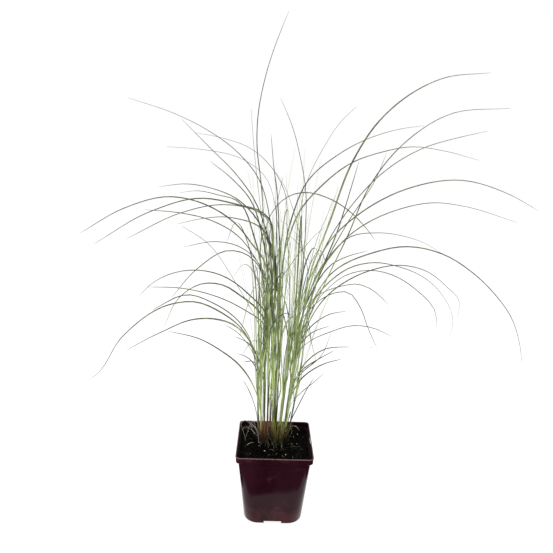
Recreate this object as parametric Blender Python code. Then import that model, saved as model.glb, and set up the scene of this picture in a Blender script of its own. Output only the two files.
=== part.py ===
"""Potted ornamental grass clump.

A young clump of fine-leaved grass in a square nursery pot. The origin is the middle of the pot's
base on the surface it stands on, +Z is up and -Y is the front.
"""

import math
from collections import namedtuple

import bmesh
import bpy
import numpy as np
from mathutils import Matrix, Vector, geometry

MM = 0.001
OBJECT_NAME = "potted_ornamental_grass_clump"

# Fit between pieces that touch, in millimetres.
GAP = 0.3

# Pot, in millimetres.
RIM_WIDTH = 130.0
POT_HEIGHT = 130.6
BAND_HEIGHT = 10.6
BAND_STEP = 4.6
BASE_WIDTH = 100.0
BAND_LEAN = 0.5
WALL = 1.3
RIM_CORNER = 8.2
RIM_EDGE = 0.4
BASE_CORNER = 25.0
FOOT_ROUND = 1.5
CORNER_STEPS = 5

# Drainage channels across the middle of each side of the base, and the hole in each roof.
CHANNEL_WIDTH = 30.0
CHANNEL_LENGTH = 34.0
CHANNEL_HEIGHT = 5.0
DRAIN_HOLE = 8.0
DRAIN_SIDES = 12

# How far a cutter runs past the wall that it opens.
CUTTER_REACH = 6.0

# Label slots through the left and right side of the rim band, a little behind its middle.
SLOT_LENGTH = 18.0
SLOT_HEIGHT = 6.4
SLOT_BELOW_RIM = 5.0
SLOT_Y = 6.0

# Soil: heights at the wall, at its shoulder and under the clump, and how far out the last two reach
# as shares of the way to the wall.
SOIL_EDGE = 116.0
SOIL_SHOULDER = 118.0
SOIL_TOP = 118.5
SHOULDER_REACH = 0.84
TOP_REACH = 0.62

# Clump: the middle of its crown on the soil, seen from above.
CROWN_X = -5.0
CROWN_Y = 14.0

# Shoots stand on the soil. The lean says how far one moves to the right and back over LEAN_SPAN of
# height. SHOOT_TIP is the share of its thickness that is left at its top.
Shoot = namedtuple("Shoot", "name foot lean length thickness")
SHOOTS = (
    Shoot("shoot_left_1", (-28, 15), (-4, 1), 150, 3.6),
    Shoot("shoot_left_2", (-23, 4), (-4, -5), 130, 3.2),
    Shoot("shoot_left_3", (-19, 25), (-2, 6), 145, 3.4),
    Shoot("shoot_middle_1", (-13, 11), (-1, -2), 185, 3.8),
    Shoot("shoot_middle_2", (-8, 21), (0, 3), 200, 4.0),
    Shoot("shoot_middle_3", (-5, 3), (1, -5), 170, 3.6),
    Shoot("shoot_middle_4", (-1, 13), (1, 0), 210, 4.0),
    Shoot("shoot_middle_5", (1, 30), (3, 7), 160, 3.4),
    Shoot("shoot_right_1", (6, 6), (7, -3), 180, 3.8),
    Shoot("shoot_right_2", (8, 20), (9, 3), 190, 3.8),
    Shoot("shoot_right_3", (14, 12), (11, 0), 185, 3.6),
    Shoot("shoot_right_4", (15, 27), (11, 6), 160, 3.4),
    Shoot("shoot_right_5", (14, -2), (10, -8), 150, 3.4),
    Shoot("shoot_right_6", (21, 6), (14, -2), 150, 3.2),
)
LEAN_SPAN = 100.0
SHOOT_SIDES = 6
SHOOT_STEPS = 3
SHOOT_TIP = 0.55

# Leaves. Each one grows from its shoot at leaves_at, a height over the floor, and arches in its own
# upright plane through the middle of the crown. The heading is that plane's direction, in degrees
# from +X towards the back. The way lists (reach from the crown, height over the floor).
Leaf = namedtuple("Leaf", "name shoot leaves_at heading width way")
LEAVES = (
    Leaf("leaf_left_01", "shoot_middle_1", 262, 186, 3.4,
         ((40, 460), (63, 501), (119, 536), (173, 547), (244, 528), (314, 487))),
    Leaf("leaf_left_02", "shoot_middle_2", 278, 170, 3.4,
         ((36, 480), (65, 533), (130, 544), (222, 518), (328, 457))),
    Leaf("leaf_left_03", "shoot_middle_1", 296, 202, 3.2,
         ((50, 490), (88, 538), (159, 526), (241, 488))),
    Leaf("leaf_left_04", "shoot_middle_2", 305, 160, 3.0,
         ((32, 460), (69, 542), (125, 561), (167, 566), (227, 559))),
    Leaf("leaf_left_05", "shoot_middle_3", 262, 214, 3.0,
         ((73, 494), (125, 517), (170, 528), (226, 534))),
    Leaf("leaf_left_06", "shoot_left_3", 256, 152, 2.8,
         ((74, 509), (102, 512), (157, 505), (210, 492))),
    Leaf("leaf_left_07", "shoot_left_2", 240, 207, 3.0,
         ((68, 471), (107, 482), (160, 476))),
    Leaf("leaf_left_08", "shoot_left_1", 266, 194, 3.0,
         ((58, 452), (80, 464), (131, 436), (174, 388))),
    Leaf("leaf_left_09", "shoot_left_1", 228, 177, 3.2,
         ((46, 350), (62, 401), (87, 415), (135, 425), (213, 398), (236, 374))),
    Leaf("leaf_left_10", "shoot_left_2", 222, 212, 3.0,
         ((69, 362), (119, 400), (170, 416), (222, 423))),
    Leaf("leaf_left_11", "shoot_left_3", 240, 164, 3.0,
         ((65, 384), (92, 395), (126, 397), (180, 365), (210, 308))),
    Leaf("leaf_left_12", "shoot_left_2", 205, 223, 2.8,
         ((78, 353), (133, 395), (179, 414), (236, 400))),
    Leaf("leaf_left_13", "shoot_left_1", 202, 184, 3.4,
         ((60, 331), (94, 357), (136, 374), (170, 371), (255, 314), (304, 243), (314, 236))),
    Leaf("leaf_left_14", "shoot_left_3", 222, 153, 3.2,
         ((84, 322), (122, 326), (161, 320), (249, 278), (338, 225))),
    Leaf("leaf_left_15", "shoot_left_2", 180, 219, 2.8,
         ((43, 233), (73, 278), (112, 313), (148, 338), (203, 361))),
    Leaf("leaf_left_16", "shoot_middle_3", 240, 228, 2.8,
         ((99, 427), (153, 489), (197, 515))),
    Leaf("leaf_top_1", "shoot_middle_4", 330, 25, 3.4,
         ((-22, 480), (-33, 576), (-41, 628), (-41, 671), (-31, 728), (-3, 809), (6, 830))),
    Leaf("leaf_top_2", "shoot_middle_2", 322, 165, 3.2,
         ((12, 500), (39, 584), (70, 618), (128, 656), (177, 678), (269, 706))),
    Leaf("leaf_top_3", "shoot_middle_5", 280, 140, 3.2,
         ((20, 480), (55, 544), (97, 584), (161, 628), (243, 684))),
    Leaf("leaf_top_4", "shoot_right_1", 300, 172, 3.2,
         ((-14, 500), (-8, 560), (12, 595), (43, 623), (101, 643), (141, 649))),
    Leaf("leaf_top_5", "shoot_middle_3", 288, 200, 3.0,
         ((0, 500), (31, 589), (67, 610), (123, 620), (179, 622))),
    Leaf("leaf_top_6", "shoot_middle_1", 312, 212, 3.0,
         ((24, 470), (39, 556), (50, 630), (56, 683))),
    Leaf("leaf_top_7", "shoot_right_2", 300, 160, 3.0,
         ((-46, 500), (-43, 568), (-34, 609), (-19, 658), (3, 704))),
    Leaf("leaf_right_01", "shoot_right_2", 318, 35, 3.0,
         ((40, 500), (58, 581), (90, 635), (119, 673), (159, 707))),
    Leaf("leaf_right_02", "shoot_right_3", 310, 12, 3.4,
         ((60, 430), (87, 508), (123, 613), (160, 673), (203, 714), (270, 751), (360, 767))),
    Leaf("leaf_right_03", "shoot_right_3", 282, -8, 3.4,
         ((80, 410), (114, 494), (145, 577), (189, 638), (255, 684), (340, 694))),
    Leaf("leaf_right_04", "shoot_right_5", 262, -22, 3.2,
         ((79, 471), (129, 556), (156, 587), (220, 631), (264, 645), (301, 654))),
    Leaf("leaf_right_05", "shoot_middle_5", 296, 28, 3.2,
         ((26, 520), (48, 571), (115, 625), (171, 652), (244, 674), (301, 684))),
    Leaf("leaf_right_06", "shoot_middle_4", 290, 18, 3.4,
         ((18, 480), (37, 529), (72, 569), (127, 610), (180, 629), (239, 641), (309, 637), (385, 624))),
    Leaf("leaf_right_07", "shoot_right_1", 272, -4, 3.4,
         ((60, 430), (88, 486), (131, 529), (212, 574), (282, 587), (364, 567), (410, 544))),
    Leaf("leaf_right_08", "shoot_right_2", 285, 8, 3.2,
         ((88, 450), (119, 488), (152, 512), (207, 536), (267, 548), (317, 544), (427, 517))),
    Leaf("leaf_right_09", "shoot_middle_3", 294, -28, 3.2,
         ((-22, 470), (-16, 521), (11, 542), (42, 560), (83, 554), (118, 537), (145, 515), (163, 496))),
    Leaf("leaf_right_10", "shoot_right_4", 262, 24, 3.0,
         ((100, 450), (136, 481), (197, 489), (256, 482), (312, 466), (355, 445))),
    Leaf("leaf_right_11", "shoot_right_6", 238, -12, 3.6,
         ((66, 390), (92, 432), (155, 469), (206, 482), (260, 474), (310, 446), (343, 417),
          (372, 381), (388, 343), (396, 310))),
    Leaf("leaf_right_12", "shoot_right_4", 245, 15, 3.2,
         ((92, 405), (128, 430), (177, 440), (225, 432), (277, 412), (321, 377), (351, 321), (348, 296))),
    Leaf("leaf_right_13", "shoot_right_3", 240, 1, 3.4,
         ((94, 396), (152, 432), (210, 444), (252, 435), (289, 409), (314, 383), (312, 355))),
    Leaf("leaf_right_14", "shoot_right_5", 246, -30, 3.0,
         ((90, 408), (124, 438), (167, 450), (198, 446), (231, 430), (262, 400), (265, 379))),
    Leaf("leaf_right_15", "shoot_right_5", 218, -48, 2.8,
         ((88, 401), (145, 431), (165, 437), (193, 435), (216, 424), (225, 418))),
    Leaf("leaf_right_16", "shoot_right_1", 225, -18, 3.0,
         ((64, 375), (90, 397), (122, 404), (141, 383), (156, 350), (166, 330), (172, 320))),
    Leaf("leaf_right_17", "shoot_right_1", 212, -40, 2.8,
         ((60, 311), (113, 349), (154, 368), (185, 371), (217, 365))),
    Leaf("leaf_front_1", "shoot_middle_3", 220, -100, 3.0,
         ((60, 380), (120, 430), (190, 440), (262, 400))),
    Leaf("leaf_front_2", "shoot_right_1", 188, -76, 3.0,
         ((50, 340), (104, 380), (160, 386), (214, 350))),
    Leaf("leaf_back_1", "shoot_middle_5", 302, 84, 3.0,
         ((50, 430), (110, 500), (180, 520), (268, 486))),
    Leaf("leaf_back_2", "shoot_left_3", 200, 112, 3.0,
         ((46, 340), (100, 400), (160, 412), (236, 372))),
)
LEAF_THICKNESS = 0.7
LEAF_OPENS = 14.0
LEAF_STEPS = 18
CURVE_POINTS = 13

# A leaf's outline, as shares of its width and of its length. It is LEAF_FOOT wide where it starts,
# full at LEAF_FULL_FROM, and from there narrows to LEAF_TIP. A narrow tip keeps LEAF_THIN of the thickness.
LEAF_FOOT = 0.55
LEAF_FULL_FROM = 0.3
LEAF_TAPER = 0.7
LEAF_TIP = 0.16
LEAF_THIN = 0.5

# Colours from the plastic, the soil and the leaves.
MAROON = (0.060, 0.012, 0.018, 1.0)
PEAT = (0.012, 0.009, 0.007, 1.0)
SHEATH_GREEN = (0.250, 0.330, 0.100, 1.0)
LEAF_GREEN = (0.165, 0.240, 0.085, 1.0)


def clear_scene():
    for obj in list(bpy.data.objects):
        bpy.data.objects.remove(obj, do_unlink=True)


def new_collection(name):
    collection = bpy.data.collections.new(name)
    bpy.context.scene.collection.children.link(collection)
    return collection


def make_material(name, colour, roughness, coat=0.0):
    material = bpy.data.materials.new(name)
    material.use_nodes = True
    shader = material.node_tree.nodes["Principled BSDF"]
    shader.inputs["Base Color"].default_value = colour
    shader.inputs["Roughness"].default_value = roughness
    shader.inputs["Metallic"].default_value = 0.0
    shader.inputs["Coat Weight"].default_value = coat
    return material


def object_from(bm, name, collection, material=None):
    """Closes a bmesh into an object, in metres."""
    bmesh.ops.transform(bm, matrix=Matrix.Scale(MM, 4), verts=bm.verts)
    bmesh.ops.recalc_face_normals(bm, faces=bm.faces)
    mesh = bpy.data.meshes.new(name)
    bm.to_mesh(mesh)
    bm.free()
    obj = bpy.data.objects.new(name, mesh)
    collection.objects.link(obj)
    if material:
        mesh.materials.append(material)
    return obj


def rounded_square(half, radius, z):
    """Points round a square with round corners, level at height z."""
    points = []
    for corner in range(4):
        start = 90 * corner
        middle = Vector((math.cos(math.radians(start + 45)), math.sin(math.radians(start + 45)), 0))
        middle *= (half - radius) * math.sqrt(2)
        for step in range(CORNER_STEPS):
            turn = math.radians(start + 90 * step / (CORNER_STEPS - 1))
            points.append(middle + Vector((radius * math.cos(turn), radius * math.sin(turn), z)))
    return points


def loft(sections):
    """Skins a row of sections with equal numbers of points, and caps both ends."""
    bm = bmesh.new()
    rings = [[bm.verts.new(point) for point in section] for section in sections]
    for lower, upper in zip(rings, rings[1:]):
        for i in range(len(lower)):
            j = (i + 1) % len(lower)
            bm.faces.new((lower[i], lower[j], upper[j], upper[i]))
    bm.faces.new(rings[0])
    bm.faces.new(rings[-1])
    return bm


def box_cutter(name, size, centre, collection):
    bm = bmesh.new()
    bmesh.ops.create_cube(bm, size=1.0)
    bmesh.ops.scale(bm, vec=size, verts=bm.verts)
    bmesh.ops.translate(bm, vec=centre, verts=bm.verts)
    return hide_guide(object_from(bm, name, collection))


def hide_guide(obj):
    obj.hide_render = True
    obj.display_type = "WIRE"
    return obj


def join_or_cut(obj, other, operation):
    modifier = obj.modifiers.new(f"{operation} {other.name}", "BOOLEAN")
    modifier.operation = operation
    modifier.object = other
    modifier.solver = "EXACT"


def wall_half(z):
    """Half of the pot's outer width under the rim band, at height z."""
    under_band = RIM_WIDTH / 2 - BAND_STEP
    return BASE_WIDTH / 2 + (under_band - BASE_WIDTH / 2) * z / (POT_HEIGHT - BAND_HEIGHT)


def wall_corner(z):
    """Corner radius of the tapered wall: widest at the base, like a quarter cone."""
    return BASE_CORNER + (RIM_CORNER - BASE_CORNER) * z / (POT_HEIGHT - BAND_HEIGHT)


def pot_sections():
    """Sections up the outside, over the rim and down the inside to the floor."""
    band_foot = POT_HEIGHT - BAND_HEIGHT
    rim = RIM_WIDTH / 2
    inner_step = band_foot - WALL
    outside = [
        (wall_half(0) - FOOT_ROUND, BASE_CORNER - FOOT_ROUND, 0.0),
        (wall_half(FOOT_ROUND), wall_corner(FOOT_ROUND), FOOT_ROUND),
        (wall_half(band_foot), wall_corner(band_foot), band_foot),
        (rim - BAND_LEAN, RIM_CORNER, band_foot),
        (rim, RIM_CORNER, POT_HEIGHT - RIM_EDGE),
        (rim - RIM_EDGE, RIM_CORNER - RIM_EDGE, POT_HEIGHT),
    ]
    inside = [
        (rim - WALL, RIM_CORNER - WALL, POT_HEIGHT),
        (rim - BAND_LEAN - WALL, RIM_CORNER - WALL, band_foot + WALL),
        (wall_half(inner_step) - WALL, wall_corner(inner_step) - WALL, inner_step),
        (wall_half(WALL) - WALL, wall_corner(WALL) - WALL, WALL),
    ]
    return [rounded_square(*section) for section in outside + inside]


def channel_places():
    """Middle of each drainage channel and whether it runs along X."""
    reach = BASE_WIDTH / 2 - CHANNEL_LENGTH / 2
    return (
        ("right", (reach, 0), True),
        ("back", (0, reach), False),
        ("left", (-reach, 0), True),
        ("front", (0, -reach), False),
    )


def channel_box(name, grow, overshoot, place, along_x, height, collection):
    """A box over one channel, wider by grow on each side and longer outwards by overshoot."""
    length = CHANNEL_LENGTH + overshoot + grow
    width = CHANNEL_WIDTH + 2 * grow
    size = (length, width, height) if along_x else (width, length, height)
    outward = Vector((place[0], place[1], 0)).normalized()
    centre = Vector((place[0], place[1], 0)) + outward * (overshoot - grow) / 2
    centre.z = height / 2
    return box_cutter(name, size, centre, collection)


def make_pot(parts, guides, material):
    """Thin-walled pot with its drainage channels raised into the floor."""
    pot = object_from(loft(pot_sections()), "pot", parts, material)
    for side, place, along_x in channel_places():
        roof = channel_box(f"roof_{side}", WALL, -WALL / 2, place, along_x,
                           CHANNEL_HEIGHT + WALL, guides)
        join_or_cut(pot, roof, "UNION")
    for side, place, along_x in channel_places():
        channel = channel_box(f"channel_{side}", 0, CUTTER_REACH, place, along_x, CHANNEL_HEIGHT, guides)
        channel.location.z = -GAP * MM
        join_or_cut(pot, channel, "DIFFERENCE")
        bm = bmesh.new()
        bmesh.ops.create_cone(bm, cap_ends=True, segments=DRAIN_SIDES, radius1=DRAIN_HOLE / 2,
                              radius2=DRAIN_HOLE / 2, depth=4 * CHANNEL_HEIGHT)
        bmesh.ops.translate(bm, vec=(place[0], place[1], CHANNEL_HEIGHT), verts=bm.verts)
        drain = hide_guide(object_from(bm, f"drain_{side}", guides))
        join_or_cut(pot, drain, "DIFFERENCE")
    for side in (-1, 1):
        slot = box_cutter("slot_left" if side < 0 else "slot_right",
                          (6 * WALL, SLOT_LENGTH, SLOT_HEIGHT),
                          (side * RIM_WIDTH / 2, SLOT_Y, POT_HEIGHT - SLOT_BELOW_RIM), guides)
        join_or_cut(pot, slot, "DIFFERENCE")
    return pot


def make_soil(parts, guides, material):
    """Potting soil that fills the pot, lowest at the wall and domed under the clump."""
    inset = WALL + GAP
    half = wall_half(SOIL_EDGE) - inset
    corner = wall_corner(SOIL_EDGE) - inset
    sections = [
        (wall_half(inset) - inset, wall_corner(inset) - inset, inset),
        (half, corner, SOIL_EDGE),
        (half * SHOULDER_REACH, corner, SOIL_SHOULDER),
        (half * TOP_REACH, corner, SOIL_TOP),
    ]
    soil = object_from(loft([rounded_square(*s) for s in sections]), "soil", parts, material)
    for side, place, along_x in channel_places():
        hollow = channel_box(f"hollow_{side}", inset, CUTTER_REACH, place, along_x,
                             CHANNEL_HEIGHT + inset, guides)
        join_or_cut(soil, hollow, "DIFFERENCE")
    return soil


def smooth_way(points, start_direction, steps):
    """Evenly spaced points on a smooth curve through the given ones."""
    chords = [after - before for before, after in zip(points, points[1:])]
    tangents = [start_direction.normalized()]
    for before, after in zip(chords, chords[1:]):
        blended = before / before.length ** 2 + after / after.length ** 2
        tangents.append(blended.normalized())
    tangents.append(chords[-1].normalized())
    curve = []
    for i, chord in enumerate(chords):
        reach = chord.length / 3
        handle_out = points[i] + tangents[i] * reach
        handle_in = points[i + 1] - tangents[i + 1] * reach
        span = geometry.interpolate_bezier(points[i], handle_out, handle_in, points[i + 1], CURVE_POINTS)
        curve += span if i == 0 else span[1:]
    curve = np.array([tuple(point) for point in curve])
    run = np.concatenate(([0.0], np.cumsum(np.linalg.norm(np.diff(curve, axis=0), axis=1))))
    even = np.linspace(0.0, run[-1], steps + 1)
    return [Vector([np.interp(s, run, curve[:, axis]) for axis in range(3)]) for s in even]


def sweep(way, side, sizes, sides):
    """A bar of so many sides, bent along the way. sizes gives its half width and half depth."""
    steps = len(way) - 1
    bm = bmesh.new()
    bmesh.ops.create_cone(bm, cap_ends=True, segments=sides, radius1=1.0, radius2=1.0, depth=1.0)
    long_edges = [e for e in bm.edges if abs(e.verts[0].co.z - e.verts[1].co.z) > 0.5]
    bmesh.ops.subdivide_edges(bm, edges=long_edges, cuts=steps - 1, use_grid_fill=True)
    for vert in bm.verts:
        i = round((vert.co.z + 0.5) * steps)
        ahead = (way[min(i + 1, steps)] - way[max(i - 1, 0)]).normalized()
        normal = side.cross(ahead).normalized()
        across = ahead.cross(normal)
        half_width, half_depth = sizes(i / steps)
        vert.co = way[i] + across * vert.co.x * half_width + normal * vert.co.y * half_depth
    return bm


def shoot_point(shoot, height):
    """The middle of a shoot at a height over the floor."""
    spans = (height - SOIL_TOP) / LEAN_SPAN
    return Vector((
        shoot.foot[0] + shoot.lean[0] * spans,
        shoot.foot[1] + shoot.lean[1] * spans,
        height,
    ))


def shoot_radius(shoot, height):
    along = (height - SOIL_TOP) / shoot.length
    return shoot.thickness / 2 * (1 + (SHOOT_TIP - 1) * along)


def make_shoot(shoot, parts, material):
    """A stem of rolled sheaths, thinner towards its top."""
    foot = SOIL_TOP + GAP
    top = SOIL_TOP + shoot.length
    heights = [foot + (top - foot) * i / SHOOT_STEPS for i in range(SHOOT_STEPS + 1)]
    way = [shoot_point(shoot, height) for height in heights]

    def sizes(along):
        radius = shoot_radius(shoot, foot + (top - foot) * along)
        return radius, radius

    return object_from(sweep(way, Vector((0, 1, 0)), sizes, SHOOT_SIDES), shoot.name, parts, material)


def leaf_way(leaf):
    """The leaf's midrib, from beside its shoot to its tip. It starts along the shoot, a little outwards."""
    shoot = next(s for s in SHOOTS if s.name == leaf.shoot)
    turn = math.radians(leaf.heading)
    outward = Vector((math.cos(turn), math.sin(turn), 0))
    clear = shoot_radius(shoot, leaf.leaves_at) + GAP + LEAF_THICKNESS / 2
    start = shoot_point(shoot, leaf.leaves_at) + outward * clear
    upward = shoot_point(shoot, leaf.leaves_at + LEAN_SPAN) - shoot_point(shoot, leaf.leaves_at)
    upward += outward * LEAF_OPENS
    crown = Vector((CROWN_X, CROWN_Y, 0))
    points = [start]
    for reach, height in leaf.way:
        points.append(crown + outward * reach + Vector((0, 0, height)))
    return smooth_way(points, upward, LEAF_STEPS)


def leaf_width(along):
    """Share of the leaf's full width at a share of its length."""
    rising = LEAF_FOOT + (1 - LEAF_FOOT) * min(1.0, along / LEAF_FULL_FROM)
    falling = (1 - max(0.0, along - LEAF_FULL_FROM) / (1 - LEAF_FULL_FROM)) ** LEAF_TAPER
    return max(LEAF_TIP, rising * falling)


def make_leaf(leaf, parts, material):
    """A long thin blade, four-sided across, that arches along its midrib."""
    turn = math.radians(leaf.heading)
    side = Vector((-math.sin(turn), math.cos(turn), 0))

    def sizes(along):
        share = leaf_width(along)
        return leaf.width / 2 * share, LEAF_THICKNESS / 2 * max(share, LEAF_THIN)

    return object_from(sweep(leaf_way(leaf), side, sizes, 4), leaf.name, parts, material)


def main():
    clear_scene()
    parts = new_collection(OBJECT_NAME)
    guides = new_collection("cutters")
    make_pot(parts, guides, make_material("maroon_plastic", MAROON, 0.25, 0.3))
    make_soil(parts, guides, make_material("soil", PEAT, 0.95))
    sheath = make_material("sheath", SHEATH_GREEN, 0.55)
    for shoot in SHOOTS:
        make_shoot(shoot, parts, sheath)
    green = make_material("leaf", LEAF_GREEN, 0.5)
    for leaf in LEAVES:
        make_leaf(leaf, parts, green)


main()
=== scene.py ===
"""Potted ornamental grass clump, dressed around its frame.

Sizes are in millimetres unless a name says otherwise, and become metres when a piece is finished.
+Z is up, -Y is the front, and the origin is the middle of the pot's base.
"""

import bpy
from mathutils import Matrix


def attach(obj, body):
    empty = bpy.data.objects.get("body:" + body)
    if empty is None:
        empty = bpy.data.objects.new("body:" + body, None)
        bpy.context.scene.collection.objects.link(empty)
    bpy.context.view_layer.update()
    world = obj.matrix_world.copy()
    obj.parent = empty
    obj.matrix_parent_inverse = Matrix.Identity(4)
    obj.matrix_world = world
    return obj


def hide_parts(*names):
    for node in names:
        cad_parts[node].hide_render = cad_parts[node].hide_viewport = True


bl_info = {
    "name": "Potted ornamental grass clump",
    "version": (1, 0, 0),
    "blender": (4, 5, 0),
    "location": "View3D > Sidebar > Grass Clump",
    "description": "Builds a young clump of fine-leaved grass in its square nursery pot",
    "category": "Object",
}

import math
import random
from collections import namedtuple

import bmesh
import bpy
import numpy as np
from bpy.props import FloatProperty, FloatVectorProperty, IntProperty, PointerProperty
from mathutils import Matrix, Vector, geometry, noise

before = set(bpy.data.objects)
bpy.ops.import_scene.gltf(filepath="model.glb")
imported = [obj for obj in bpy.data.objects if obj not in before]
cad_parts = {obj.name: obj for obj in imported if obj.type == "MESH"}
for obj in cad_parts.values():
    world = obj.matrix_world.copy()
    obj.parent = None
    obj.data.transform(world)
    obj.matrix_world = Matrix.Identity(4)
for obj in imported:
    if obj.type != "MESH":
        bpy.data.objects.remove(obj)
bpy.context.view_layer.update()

MM = 0.001
BODY = "root"

# Pot. These sizes are the frame's own.
RIM_WIDTH = 130.0
POT_HEIGHT = 130.6
BAND_HEIGHT = 10.6
BAND_STEP = 4.6
BASE_WIDTH = 100.0
RIM_CORNER = 8.2
BASE_CORNER = 25.0
CHANNEL_WIDTH = 30.0
CHANNEL_LENGTH = 34.0
CHANNEL_HEIGHT = 5.0
DRAIN_HOLE = 8.0
SLOT_Y = 6.0

# The frame's rim is square-edged, and this one is rolled into a bead of this radius.
RIM_BEAD = 0.9
CORNER_STEPS = 9

# The label slots are guessed larger than the frame's 18 by 6.4, which show almost no daylight from the front.
SLOT_LENGTH = 26.0
SLOT_HEIGHT = 7.2
SLOT_BELOW_RIM = 5.4

# Soil. The frame's own top is lowest at the wall and highest under the clump.
SOIL_EDGE = 116.0
SOIL_TOP = 118.5

# Clump: the middle of its crown on the soil, seen from above.
CROWN_X = -5.0
CROWN_Y = 14.0

# Shoots lean outwards by so much for each 100 mm of height. Tint goes from 0, dark, to 1, fresh green.
Shoot = namedtuple("Shoot", "name foot lean length thickness tint")
SHOOTS = (
    Shoot("shoot_left_1", (-28, 15), (-4, 1), 150, 3.6, 0.2),
    Shoot("shoot_left_2", (-23, 4), (-4, -5), 130, 3.2, 0.0),
    Shoot("shoot_left_3", (-19, 25), (-2, 6), 145, 3.4, 0.35),
    Shoot("shoot_middle_1", (-13, 11), (-1, -2), 185, 3.8, 0.05),
    Shoot("shoot_middle_2", (-8, 21), (0, 3), 200, 4.0, 0.8),
    Shoot("shoot_middle_3", (-5, 3), (1, -5), 170, 3.6, 0.45),
    Shoot("shoot_middle_4", (-1, 13), (1, 0), 210, 4.0, 0.95),
    Shoot("shoot_middle_5", (1, 30), (3, 7), 160, 3.4, 0.6),
    Shoot("shoot_right_1", (6, 6), (7, -3), 180, 3.8, 0.75),
    Shoot("shoot_right_2", (8, 20), (9, 3), 190, 3.8, 0.35),
    Shoot("shoot_right_3", (14, 12), (11, 0), 185, 3.6, 0.6),
    Shoot("shoot_right_4", (15, 27), (11, 6), 160, 3.4, 0.15),
    Shoot("shoot_right_5", (14, -2), (10, -8), 150, 3.4, 0.6),
    Shoot("shoot_right_6", (21, 6), (14, -2), 150, 3.2, 0.25),
)
SHOOT_NAMED = {shoot.name: shoot for shoot in SHOOTS}
SHOOT_TIP = 0.55
STEM_SHARE = 0.78

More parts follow.
